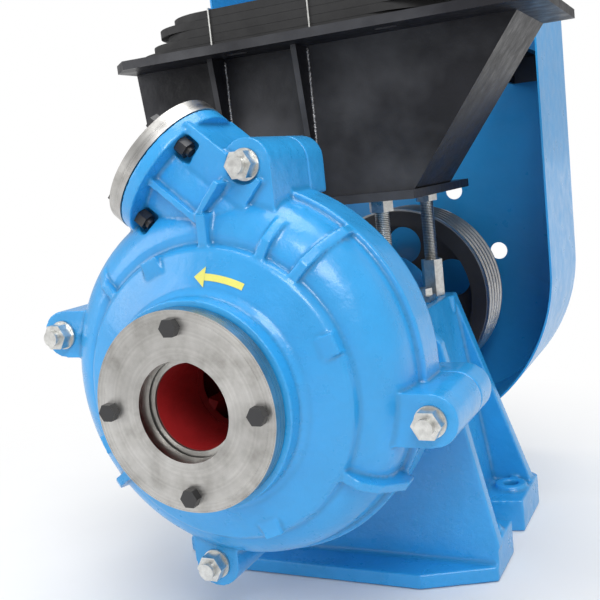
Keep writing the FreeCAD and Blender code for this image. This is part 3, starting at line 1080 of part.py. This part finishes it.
node("v_belts", group("belt_set", [loop(
    "belt%d" % i, "belt_round", "belt_long", "belt_wide", "belt_high - gap",
    ("belt_x + %d" % (0, 20, 46, 34, 60)[i % 5], "belt_y", "top_z + top_thick + %d * belt_high" % i),
) for i in range(int(val("belt_count")))]))
ties = []
STACK = "belt_count * belt_high"
for i, a in enumerate((1, -1)):
    x = "belt_x + %d * belt_long / 4" % a
    y = "belt_y - belt_round"
    z = "top_z + top_thick"
    tie = cut("tie%d" % i, box("tie_outer%d" % i, ("2 * wire_r", "belt_wide + 4 * wire_r + 2 * gap", STACK + " + 2 * wire_r"),
                               (x, y + " - 2 * wire_r - gap", z)),
              [box("tie_inner%d" % i, ("2 * wire_r + 2 * over", "belt_wide + 2 * gap", STACK), ("(%s) - over" % x, y + " - gap", z))])
    ties.append(tie)
node("tie_wires", group("tie_set", ties))

# ---------------------------------------------------------------- export

doc.recompute()
failed = [o.Name for o in doc.Objects if "Invalid" in o.State or "Error" in o.State]
if failed:
    raise RuntimeError("features with an error: %s" % ", ".join(failed))
os.makedirs("parts", exist_ok=True)
for obj in NODES:
    if obj.Shape.isNull() or not obj.Shape.isValid():
        raise RuntimeError("bad shape: %s" % obj.Label)
    obj.Shape.exportStep("parts/%s.step" % obj.Label)
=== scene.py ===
import bpy
import bmesh
import json
import math
import random
from mathutils import Matrix, Vector


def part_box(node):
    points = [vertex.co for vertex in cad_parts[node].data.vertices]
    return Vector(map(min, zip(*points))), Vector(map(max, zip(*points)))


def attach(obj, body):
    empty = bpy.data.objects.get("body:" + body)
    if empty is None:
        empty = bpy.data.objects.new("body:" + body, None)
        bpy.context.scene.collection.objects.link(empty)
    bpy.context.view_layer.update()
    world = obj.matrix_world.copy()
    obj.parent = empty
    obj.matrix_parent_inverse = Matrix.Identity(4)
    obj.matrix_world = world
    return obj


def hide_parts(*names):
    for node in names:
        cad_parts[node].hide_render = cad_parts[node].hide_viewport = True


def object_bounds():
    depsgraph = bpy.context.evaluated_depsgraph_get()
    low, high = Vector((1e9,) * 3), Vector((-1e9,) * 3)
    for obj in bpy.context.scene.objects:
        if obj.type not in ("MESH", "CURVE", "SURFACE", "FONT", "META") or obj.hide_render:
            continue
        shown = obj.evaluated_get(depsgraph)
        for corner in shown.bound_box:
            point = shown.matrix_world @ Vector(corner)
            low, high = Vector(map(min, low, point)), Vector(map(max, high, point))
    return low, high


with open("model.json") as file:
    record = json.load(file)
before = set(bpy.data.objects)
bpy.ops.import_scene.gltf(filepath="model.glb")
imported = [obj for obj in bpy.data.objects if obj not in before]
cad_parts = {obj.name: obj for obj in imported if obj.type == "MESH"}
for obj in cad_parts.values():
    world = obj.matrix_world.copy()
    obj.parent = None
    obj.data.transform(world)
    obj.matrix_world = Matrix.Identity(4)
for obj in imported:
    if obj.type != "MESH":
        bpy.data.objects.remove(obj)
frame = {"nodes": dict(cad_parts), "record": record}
CAD_BOX = [list(v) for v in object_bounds()]
NODES = frame["nodes"]
scene = bpy.context.scene
scene.view_settings.view_transform = "Standard"


# ---------------------------------------------------------------- material helpers

def new_material(name, colour, rough, metal=0.0, coat=0.0, coat_rough=0.1, specular=0.5):
    mat = bpy.data.materials.new(name)
    mat.use_nodes = True
    tree = mat.node_tree
    shader = tree.nodes["Principled BSDF"]
    shader.inputs["Base Color"].default_value = (*colour, 1)
    shader.inputs["Roughness"].default_value = rough
    shader.inputs["Metallic"].default_value = metal
    shader.inputs["Coat Weight"].default_value = coat
    shader.inputs["Coat Roughness"].default_value = coat_rough
    shader.inputs["Specular IOR Level"].default_value = specular
    return mat, tree, shader


def add(tree, kind, **inputs):
    node = tree.nodes.new(kind)
    for key, value in inputs.items():
        key = key.replace("_", " ")
        if key in node.inputs:
            node.inputs[key].default_value = value
    return node


def noise(tree, scale, detail=4.0, rough=0.5, stretch=None):
    """Noise in object space, in features per metre."""
    coords = tree.nodes.new("ShaderNodeTexCoord")
    out = coords.outputs["Object"]
    if stretch:
        mapping = tree.nodes.new("ShaderNodeMapping")
        mapping.inputs["Scale"].default_value = stretch
        tree.links.new(out, mapping.inputs["Vector"])
        out = mapping.outputs["Vector"]
    node = add(tree, "ShaderNodeTexNoise", Scale=scale, Detail=detail, Roughness=rough)
    tree.links.new(out, node.inputs["Vector"])
    return node.outputs["Fac"]


def ramp(tree, source, stops):
    """Colour ramp with (position, colour) stops."""
    node = tree.nodes.new("ShaderNodeValToRGB")
    while len(node.color_ramp.elements) < len(stops):
        node.color_ramp.elements.new(0.5)
    for element, (position, colour) in zip(node.color_ramp.elements, stops):
        element.position = position
        element.color = (*colour, 1) if len(colour) == 3 else colour
    tree.links.new(source, node.inputs["Fac"])
    return node.outputs["Color"]


def spread(tree, source, low, high, lowest=0.3, highest=0.7):
    """Map a value to a range."""
    node = tree.nodes.new("ShaderNodeMapRange")
    node.inputs["From Min"].default_value = lowest
    node.inputs["From Max"].default_value = highest
    node.inputs["To Min"].default_value = low
    node.inputs["To Max"].default_value = high
    tree.links.new(source, node.inputs["Value"])
    return node.outputs["Result"]


def bump(tree, shader, heights, strength=1.0):
    """Bump from several (source, depth in metres) pairs."""
    normal = None
    for source, depth in heights:
        node = tree.nodes.new("ShaderNodeBump")
        node.inputs["Strength"].default_value = strength
        node.inputs["Distance"].default_value = depth
        tree.links.new(source, node.inputs["Height"])
        if normal:
            tree.links.new(normal, node.inputs["Normal"])
        normal = node.outputs["Normal"]
    tree.links.new(normal, shader.inputs["Normal"])


def painted(name, colour, variation, rough, grain_depth, wave_depth, coat=0.0, edge=None):
    """Paint over metal: slow colour drift, fine orange peel and slow waviness, with painted shade darkening the
    corners.
    """
    mat, tree, shader = new_material(name, colour, rough, coat=coat, coat_rough=0.12)
    drift = noise(tree, 9.0, 5.0, 0.6)
    tint = ramp(tree, drift, [
        (0.3, [c * (1 - variation) for c in colour]),
        (0.5, colour),
        (0.72, [min(1.0, c * (1 + variation)) for c in colour]),
    ])
    geometry = tree.nodes.new("ShaderNodeNewGeometry")
    # painted shade: concave corners (low pointiness) are mixed towards a copy of the colour darkened to 0.62
    painted_corner_shade = spread(tree, geometry.outputs["Pointiness"], 0.0, 1.0, 0.46, 0.5)
    mix = tree.nodes.new("ShaderNodeMix")
    mix.data_type = "RGBA"
    mix.blend_type = "MIX"
    tree.links.new(painted_corner_shade, mix.inputs["Factor"])
    mix.inputs[6].default_value = (*[c * 0.62 for c in colour], 1)
    tree.links.new(tint, mix.inputs[7])
    tree.links.new(mix.outputs[2], shader.inputs["Base Color"])
    tree.links.new(spread(tree, noise(tree, 35.0, 4.0, 0.6), rough - 0.07, rough + 0.12), shader.inputs["Roughness"])
    bump(tree, shader, [(noise(tree, 60.0, 2.0, 0.5), wave_depth), (noise(tree, 420.0, 3.0, 0.6), grain_depth)])
    return mat


def metal(name, colour, rough, scale=140.0, depth=0.00012, variation=0.18, dirt=None):
    """Plated or bare metal with fine scratches and uneven tone."""
    mat, tree, shader = new_material(name, colour, rough, metal=1.0)
    tone = ramp(tree, noise(tree, scale, 5.0, 0.65), [
        (0.3, [c * (1 - variation) for c in colour]),
        (0.65, [min(1.0, c * (1 + variation)) for c in colour]),
    ])
    tree.links.new(tone, shader.inputs["Base Color"])
    tree.links.new(spread(tree, noise(tree, scale * 0.6, 4.0, 0.6), rough - 0.08, rough + 0.14), shader.inputs["Roughness"])
    bump(tree, shader, [(noise(tree, scale * 4, 3.0, 0.6), depth)])
    return mat


BLUE = (0.026, 0.318, 0.700)
blue_cast = painted("blue_cast", BLUE, 0.10, 0.30, 0.00025, 0.0011, coat=0.35)
blue_sheet = painted("blue_sheet", BLUE, 0.05, 0.33, 0.00006, 0.0005, coat=0.25)
black_paint = painted("black_paint", (0.012, 0.012, 0.015), 0.35, 0.36, 0.00012, 0.0009, coat=0.0)


def dust_and_painted_sheen(mat, grey):
    """Uneven dust with a painted reflection: lighter grey patches on the faces that look forwards, partly dust and
    partly standing in for their sheen.
    """
    tree = mat.node_tree
    shader = tree.nodes["Principled BSDF"]
    geometry = tree.nodes.new("ShaderNodeNewGeometry")
    split = tree.nodes.new("ShaderNodeSeparateXYZ")
    tree.links.new(geometry.outputs["True Normal"], split.inputs[0])
    # painted reflection mixed with dust: only faces looking forwards are lightened towards the grey, in noise patches
    facing = spread(tree, split.outputs["Y"], 1.0, 0.0, -1.0, -0.5)
    patches = spread(tree, noise(tree, 5.0, 4.0, 0.55), 0.1, 1.0, 0.38, 0.62)
    amount = tree.nodes.new("ShaderNodeMath")
    amount.operation = "MULTIPLY"
    tree.links.new(facing, amount.inputs[0])
    tree.links.new(patches, amount.inputs[1])
    mix = tree.nodes.new("ShaderNodeMix")
    mix.data_type = "RGBA"
    tree.links.new(amount.outputs[0], mix.inputs["Factor"])
    tree.links.new(shader.inputs["Base Color"].links[0].from_socket, mix.inputs[6])
    mix.inputs[7].default_value = (*grey, 1)
    tree.links.new(mix.outputs[2], shader.inputs["Base Color"])


black_paint.node_tree.nodes["Principled BSDF"].inputs["Specular IOR Level"].default_value = 0.16
dust_and_painted_sheen(black_paint, (0.075, 0.076, 0.082))
zinc = metal("zinc", (0.62, 0.62, 0.60), 0.34)
bright = metal("bright", (0.66, 0.66, 0.65), 0.26)
black_oxide = painted("black_oxide", (0.016, 0.016, 0.018), 0.4, 0.38, 0.0001, 0.0002, coat=0.2)
dark_iron = painted("dark_iron", (0.022, 0.022, 0.025), 0.35, 0.42, 0.0002, 0.0005, coat=0.1)
grey_iron = painted("grey_iron", (0.20, 0.20, 0.20), 0.25, 0.55, 0.0004, 0.0006)
red_iron = painted("red_iron", (0.33, 0.016, 0.018), 0.22, 0.36, 0.0003, 0.0010, coat=0.3)
rubber = painted("rubber", (0.014, 0.014, 0.015), 0.3, 0.6, 0.0002, 0.0003)
fibre = painted("fibre", (0.42, 0.36, 0.25), 0.3, 0.8, 0.0006, 0.0008)


def turned_face(name, axis_point, axis_dir):
    """Machined steel with fine rings round an axis."""
    mat, tree, shader = new_material(name, (0.5, 0.5, 0.49), 0.30, metal=1.0)
    coords = tree.nodes.new("ShaderNodeTexCoord")
    shift = tree.nodes.new("ShaderNodeVectorMath")
    shift.operation = "SUBTRACT"
    shift.inputs[1].default_value = axis_point
    tree.links.new(coords.outputs["Object"], shift.inputs[0])
    across = tree.nodes.new("ShaderNodeVectorMath")
    across.operation = "CROSS_PRODUCT"
    across.inputs[1].default_value = axis_dir
    tree.links.new(shift.outputs[0], across.inputs[0])
    radius = tree.nodes.new("ShaderNodeVectorMath")
    radius.operation = "LENGTH"
    tree.links.new(across.outputs[0], radius.inputs[0])
    along = tree.nodes.new("ShaderNodeVectorMath")
    along.operation = "DOT_PRODUCT"
    along.inputs[1].default_value = axis_dir
    tree.links.new(shift.outputs[0], along.inputs[0])
    both = tree.nodes.new("ShaderNodeCombineXYZ")
    tree.links.new(radius.outputs["Value"], both.inputs["X"])
    tree.links.new(along.outputs["Value"], both.inputs["Y"])
    lines = add(tree, "ShaderNodeTexNoise", Scale=1800.0, Detail=3.0, Roughness=0.7)
    tree.links.new(both.outputs[0], lines.inputs["Vector"])
    bands = add(tree, "ShaderNodeTexNoise", Scale=260.0, Detail=3.0, Roughness=0.6)
    tree.links.new(both.outputs[0], bands.inputs["Vector"])
    stain = noise(tree, 28.0, 5.0, 0.6)
    tone = ramp(tree, stain, [(0.3, (0.36, 0.35, 0.33)), (0.5, (0.52, 0.51, 0.49)), (0.7, (0.62, 0.61, 0.59))])
    mix = tree.nodes.new("ShaderNodeMix")
    mix.data_type = "RGBA"
    mix.blend_type = "MULTIPLY"
    mix.inputs["Factor"].default_value = 0.7
    tree.links.new(tone, mix.inputs[6])
    tree.links.new(ramp(tree, bands.outputs["Fac"], [(0.3, (0.70, 0.70, 0.70)), (0.7, (1, 1, 1))]), mix.inputs[7])
    tree.links.new(mix.outputs[2], shader.inputs["Base Color"])
    tree.links.new(spread(tree, bands.outputs["Fac"], 0.24, 0.42), shader.inputs["Roughness"])
    bump(tree, shader, [(lines.outputs["Fac"], 0.00006), (bands.outputs["Fac"], 0.00008)])
    return mat



def masked(mat, coordinate, edge, colour, metallic, rough):
    """Make a material bare metal on one side of a limit: below it along Y, or beyond it from the shaft."""
    tree = mat.node_tree
    shader = tree.nodes["Principled BSDF"]
    coords = tree.nodes.new("ShaderNodeTexCoord")
    split = tree.nodes.new("ShaderNodeSeparateXYZ")
    tree.links.new(coords.outputs["Object"], split.inputs[0])
    if coordinate == "depth":
        measure = split.outputs["Y"]
        limits = (1.0, 0.0)
    else:
        flat = tree.nodes.new("ShaderNodeCombineXYZ")
        tree.links.new(split.outputs["X"], flat.inputs["X"])
        tree.links.new(split.outputs["Z"], flat.inputs["Z"])
        length = tree.nodes.new("ShaderNodeVectorMath")
        length.operation = "LENGTH"
        tree.links.new(flat.outputs[0], length.inputs[0])
        measure = length.outputs["Value"]
        limits = (0.0, 1.0)
    bare = spread(tree, measure, *limits, edge - 0.0006, edge + 0.0006)
    mix = tree.nodes.new("ShaderNodeMix")
    mix.data_type = "RGBA"
    tree.links.new(bare, mix.inputs["Factor"])
    tree.links.new(shader.inputs["Base Color"].links[0].from_socket, mix.inputs[6])
    mix.inputs[7].default_value = (*colour, 1)
    tree.links.new(mix.outputs[2], shader.inputs["Base Color"])
    tree.links.new(spread(tree, bare, 0.0, metallic, 0.0, 1.0), shader.inputs["Metallic"])
    tree.links.new(spread(tree, bare, 0.38, rough, 0.0, 1.0), shader.inputs["Roughness"])
    return mat


BUSH_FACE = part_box("throatbush")[0].y
PULLEY_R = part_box("pulley")[1].x
bush_iron = masked(red_iron.copy(), "depth", BUSH_FACE + 0.003, (0.5, 0.49, 0.47), 1.0, 0.3)
pulley_iron = masked(dark_iron.copy(), "radius", PULLEY_R - 0.0035, (0.55, 0.54, 0.52), 1.0, 0.28)
MOUNTS = {m["name"]: m for m in frame["record"]["mounts"]}
LEAN = Vector(MOUNTS["discharge_bore"]["axis"])
low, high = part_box("discharge_ring")
intake_steel = turned_face("intake_steel", (0, 0, 0), (0, 1, 0))
swirl = intake_steel.node_tree.nodes.new("ShaderNodeTangent")
swirl.direction_type = "RADIAL"
swirl.axis = "Y"
intake_shader = intake_steel.node_tree.nodes["Principled BSDF"]
intake_shader.inputs["Anisotropic"].default_value = 0.8
intake_steel.node_tree.links.new(swirl.outputs["Tangent"], intake_shader.inputs["Tangent"])
discharge_steel = turned_face("discharge_steel", (low + high) / 2, LEAN)

CAD_MATERIAL = {
    "blue_paint": blue_cast, "black_paint": black_paint, "machined_steel": intake_steel, "black_oxide": black_oxide,
    "zinc_steel": zinc, "bright_steel": bright, "red_iron": red_iron, "dark_iron": dark_iron, "grey_iron": grey_iron,
    "black_rubber": rubber, "packing_fibre": fibre,
}
SLOT = {p["node"]: p["material_slot"] for p in frame["record"]["subparts"]}
for name, obj in NODES.items():
    obj.data.materials.clear()
    obj.data.materials.append(CAD_MATERIAL[SLOT[name]])
for name, mat in (("discharge_ring", discharge_steel), ("belt_guard", blue_sheet), ("guard_brackets", black_paint),
                  ("throatbush", bush_iron), ("pulley", pulley_iron)):
    NODES[name].data.materials[0] = mat


# ---------------------------------------------------------------- castings with rounded edges

BODY = {name: body for body, names in frame["record"]["behaviour"]["bodies"].items() for name in names}


def finish_piece(obj, mat, body, slot_name, *replaced):
    """Give a piece its material and body, and hide the nodes that it replaces."""
    obj.data.materials.clear()
    obj.data.materials.append(mat)
    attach(obj, body)
    if replaced:
        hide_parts(*replaced)
    return obj


def casting(node_name, voxel, rounds):
    """Rounded copy of a cast node: a fine remesh, then smoothing that softens every edge and corner."""
    source = NODES[node_name]
    mesh = source.data.copy()
    work = bmesh.new()
    work.from_mesh(mesh)
    bmesh.ops.remove_doubles(work, verts=work.verts, dist=1e-6)
    work.to_mesh(mesh)
    work.free()
    draft = bpy.data.objects.new(node_name + "_draft", mesh)
    scene.collection.objects.link(draft)
    draft.matrix_world = source.matrix_world
    remesh = draft.modifiers.new("remesh", "REMESH")
    remesh.mode = "VOXEL"
    remesh.voxel_size = voxel
    smooth = draft.modifiers.new("smooth", "SMOOTH")
    smooth.factor = 0.5
    smooth.iterations = rounds
    # a hair inwards, so that the rounded copy never stands proud of what slides or seats in it
    inset = draft.modifiers.new("inset", "DISPLACE")
    inset.strength = -0.0005
    inset.mid_level = 0.0
    result = bpy.data.meshes.new_from_object(draft.evaluated_get(bpy.context.evaluated_depsgraph_get()))
    bpy.data.objects.remove(draft)
    result.shade_smooth()
    obj = bpy.data.objects.new(node_name + "_casting", result)
    scene.collection.objects.link(obj)
    obj.matrix_world = source.matrix_world
    return finish_piece(obj, blue_cast, BODY[node_name], SLOT[node_name], node_name)


cover = casting("cover_plate", 0.0020, 4)
casting("frame_plate", 0.0024, 4)
casting("base", 0.0024, 5)


# ---------------------------------------------------------------- rotation arrow

def surface_front(obj, x, z):
    """First point of a piece met from the front at (x, z)."""
    start = obj.matrix_world.inverted() @ Vector((x, -1.0, z))
    hit, place, normal, face = obj.ray_cast(start, Vector((0, 1, 0)))
    return (obj.matrix_world @ place).y


def rotation_arrow(name, radius, width, start, end, mat):
    """Painted arrow, bent round the shaft, lying on the cover's face."""
    steps = 24
    verts = []
    faces = []
    head = math.radians(5.5)
    for i in range(steps + 1):
        angle = start + (end - start) * i / steps
        for r in (radius - width / 2, radius, radius + width / 2):
            x = r * math.cos(angle)
            z = r * math.sin(angle)
            verts.append((x, surface_front(cover, x, z) - 0.0006, z))
        if i:
            k = 3 * i
            faces += [(k - 3, k - 2, k + 1, k), (k - 2, k - 1, k + 2, k + 1)]
    base = len(verts)
    for angle, r in ((end, radius - width * 1.5), (end + head, radius), (end, radius + width * 1.5), (end, radius)):
        x = r * math.cos(angle)
        z = r * math.sin(angle)
        verts.append((x, surface_front(cover, x, z) - 0.0008, z))
    faces += [(base, base + 3, base + 1), (base + 3, base + 2, base + 1)]
    mesh = bpy.data.meshes.new(name)
    mesh.from_pydata(verts, [], faces)
    obj = bpy.data.objects.new(name, mesh)
    scene.collection.objects.link(obj)
    return finish_piece(obj, mat, BODY["cover_plate"], SLOT["cover_plate"])


yellow = painted("yellow", (0.78, 0.74, 0.16), 0.12, 0.4, 0.0001, 0.0002)
rotation_arrow("rotation_arrow", 0.142, 0.0075, math.radians(64), math.radians(84), yellow)


# ---------------------------------------------------------------- threads and welds

def threaded(name, pitch):
    """Plated steel with thread lines across the rod's length, the roots painted dark as shade and the crests painted
    light as highlight.
    """
    mat, tree, shader = new_material(name, (0.55, 0.55, 0.53), 0.33, metal=1.0)
    coords = tree.nodes.new("ShaderNodeTexCoord")
    split = tree.nodes.new("ShaderNodeSeparateXYZ")
    tree.links.new(coords.outputs["Object"], split.inputs[0])
    turns = tree.nodes.new("ShaderNodeMath")
    turns.operation = "MULTIPLY"
    turns.inputs[1].default_value = 1 / pitch
    tree.links.new(split.outputs["Z"], turns.inputs[0])
    wave = tree.nodes.new("ShaderNodeMath")
    wave.operation = "PINGPONG"
    wave.inputs[1].default_value = 0.5
    tree.links.new(turns.outputs[0], wave.inputs[0])
    # painted shade in the thread roots and painted highlight on the crests, following the same lines as the bump
    tone = ramp(tree, wave.outputs[0], [(0.0, (0.16, 0.16, 0.15)), (0.5, (0.72, 0.72, 0.70))])
    tree.links.new(tone, shader.inputs["Base Color"])
    bump(tree, shader, [(wave.outputs[0], 0.0016), (noise(tree, 300.0), 0.0001)])
    return mat


NODES["platform_studs"].data.materials[0] = threaded("thread", 0.0025)


def weld(name, start, end, radius):
    """Weld bead: overlapping ripples along a line."""
    rng = random.Random(7)
    work = bmesh.new()
    start = Vector(start)
    run = Vector(end) - start
    count = int(run.length / (radius * 0.8))
    for i in range(count + 1):
        swell = radius * (0.85 + 0.3 * rng.random())
        at = start + run * (i / count) + Vector((rng.uniform(-1, 1), rng.uniform(-1, 1), 0)) * radius * 0.15
        bmesh.ops.create_icosphere(work, subdivisions=2, radius=swell, matrix=Matrix.Translation(at))
    mesh = bpy.data.meshes.new(name)
    work.to_mesh(mesh)
    work.free()
    mesh.shade_smooth()
    obj = bpy.data.objects.new(name, mesh)
    scene.collection.objects.link(obj)
    return finish_piece(obj, weld_steel, BODY["motor_platform"], SLOT["motor_platform"])


weld_steel = metal("weld_steel", (0.30, 0.30, 0.31), 0.36, 220.0, 0.0004, 0.5)
GUSSETS = (-0.094, 0.035)
PANEL_Y = 0.350
deck_low, deck_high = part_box("motor_platform")
for i, x in enumerate(GUSSETS):
    weld("gusset_weld_%d" % i, (x, PANEL_Y, deck_low[2] + 0.014), (x, PANEL_Y, deck_high[2] - 0.016), 0.0022)


# ---------------------------------------------------------------- stage, light and camera

def plane(name, size, centre, normal_up=True):
    mesh = bpy.data.meshes.new(name)
    x, y, z = centre
    mesh.from_pydata([(x - size, y - size, z), (x + size, y - size, z), (x + size, y + size, z), (x - size, y + size, z)], [], [(0, 1, 2, 3)])
    obj = bpy.data.objects.new(name, mesh)
    scene.collection.objects.link(obj)
    return obj


def stage_material():
    mat = bpy.data.materials.new("floor")
    mat.use_nodes = True
    tree = mat.node_tree
    shader = tree.nodes["Principled BSDF"]
    shader.inputs["Base Color"].default_value = (0.86, 0.86, 0.86, 1)
    shader.inputs["Roughness"].default_value = 0.9
    tone = ramp(tree, noise(tree, 3.0, 3.0, 0.5), [(0.3, (0.84, 0.84, 0.84)), (0.7, (0.88, 0.88, 0.88))])
    tree.links.new(tone, shader.inputs["Base Color"])
    # the floor fades into the white background well away from the pump
    coords = tree.nodes.new("ShaderNodeTexCoord")
    length = tree.nodes.new("ShaderNodeVectorMath")
    length.operation = "LENGTH"
    tree.links.new(coords.outputs["Object"], length.inputs[0])
    white = add(tree, "ShaderNodeEmission", Strength=1.0)
    mix = tree.nodes.new("ShaderNodeMixShader")
    tree.links.new(spread(tree, length.outputs["Value"], 0.0, 1.0, 0.55, 1.5), mix.inputs["Fac"])
    tree.links.new(shader.outputs["BSDF"], mix.inputs[1])
    tree.links.new(white.outputs["Emission"], mix.inputs[2])
    tree.links.new(mix.outputs["Shader"], tree.nodes["Material Output"].inputs["Surface"])
    return mat


floor = plane("floor", 30.0, (0, 0, CAD_BOX[0][2] - 0.0005))
floor.data.materials.append(stage_material())

world = bpy.data.worlds.new("world")
scene.world = world
world.use_nodes = True
wt = world.node_tree
background = wt.nodes["Background"]
path = wt.nodes.new("ShaderNodeLightPath")
seen = wt.nodes.new("ShaderNodeMath")
seen.operation = "MAXIMUM"
wt.links.new(path.outputs["Is Camera Ray"], seen.inputs[0])
wt.links.new(path.outputs["Is Transmission Ray"], seen.inputs[1])
strength = wt.nodes.new("ShaderNodeMapRange")
strength.inputs["To Min"].default_value = 0.55
strength.inputs["To Max"].default_value = 1.0
wt.links.new(seen.outputs[0], strength.inputs["Value"])
background.inputs["Color"].default_value = (1, 1, 1, 1)
wt.links.new(strength.outputs["Result"], background.inputs["Strength"])


def area(name, place, target, size, power):
    light = bpy.data.lights.new(name, "AREA")
    light.shape = "RECTANGLE"
    light.size, light.size_y = size
    light.energy = power
    obj = bpy.data.objects.new(name, light)
    obj.location = place
    obj.rotation_mode = "QUATERNION"
    obj.rotation_quaternion = (Vector(target) - Vector(place)).to_track_quat("-Z", "Y")
    scene.collection.objects.link(obj)


area("key", (1.6, -2.2, 2.6), (0, 0.2, 0), (1.6, 1.6), 75)
area("fill", (-2.6, -1.6, 1.2), (0, 0.2, 0), (1.8, 1.8), 30)
area("top", (0.2, 0.6, 3.2), (0, 0.3, 0), (2.2, 2.2), 55)

AZIMUTH, ELEVATION, ROLL = math.radians(26.2), math.radians(8.1), math.radians(-6.1)
back = Vector((math.sin(AZIMUTH) * math.cos(ELEVATION), -math.cos(AZIMUTH) * math.cos(ELEVATION), math.sin(ELEVATION)))
right = Vector((math.cos(AZIMUTH), math.sin(AZIMUTH), 0))
up = right.cross(-back)
cam_right = right * math.cos(ROLL) + up * math.sin(ROLL)
cam_up = -right * math.sin(ROLL) + up * math.cos(ROLL)
camera = bpy.data.objects.new("camera", bpy.data.cameras.new("camera"))
scene.collection.objects.link(camera)
turned = Matrix((cam_right, cam_up, back)).transposed().to_4x4()
camera.matrix_world = Matrix.Translation((0.548, -0.796, 0.246)) @ turned
camera.data.sensor_width = 36
camera.data.lens = 54
camera.data.clip_start = 0.01
scene.camera = camera
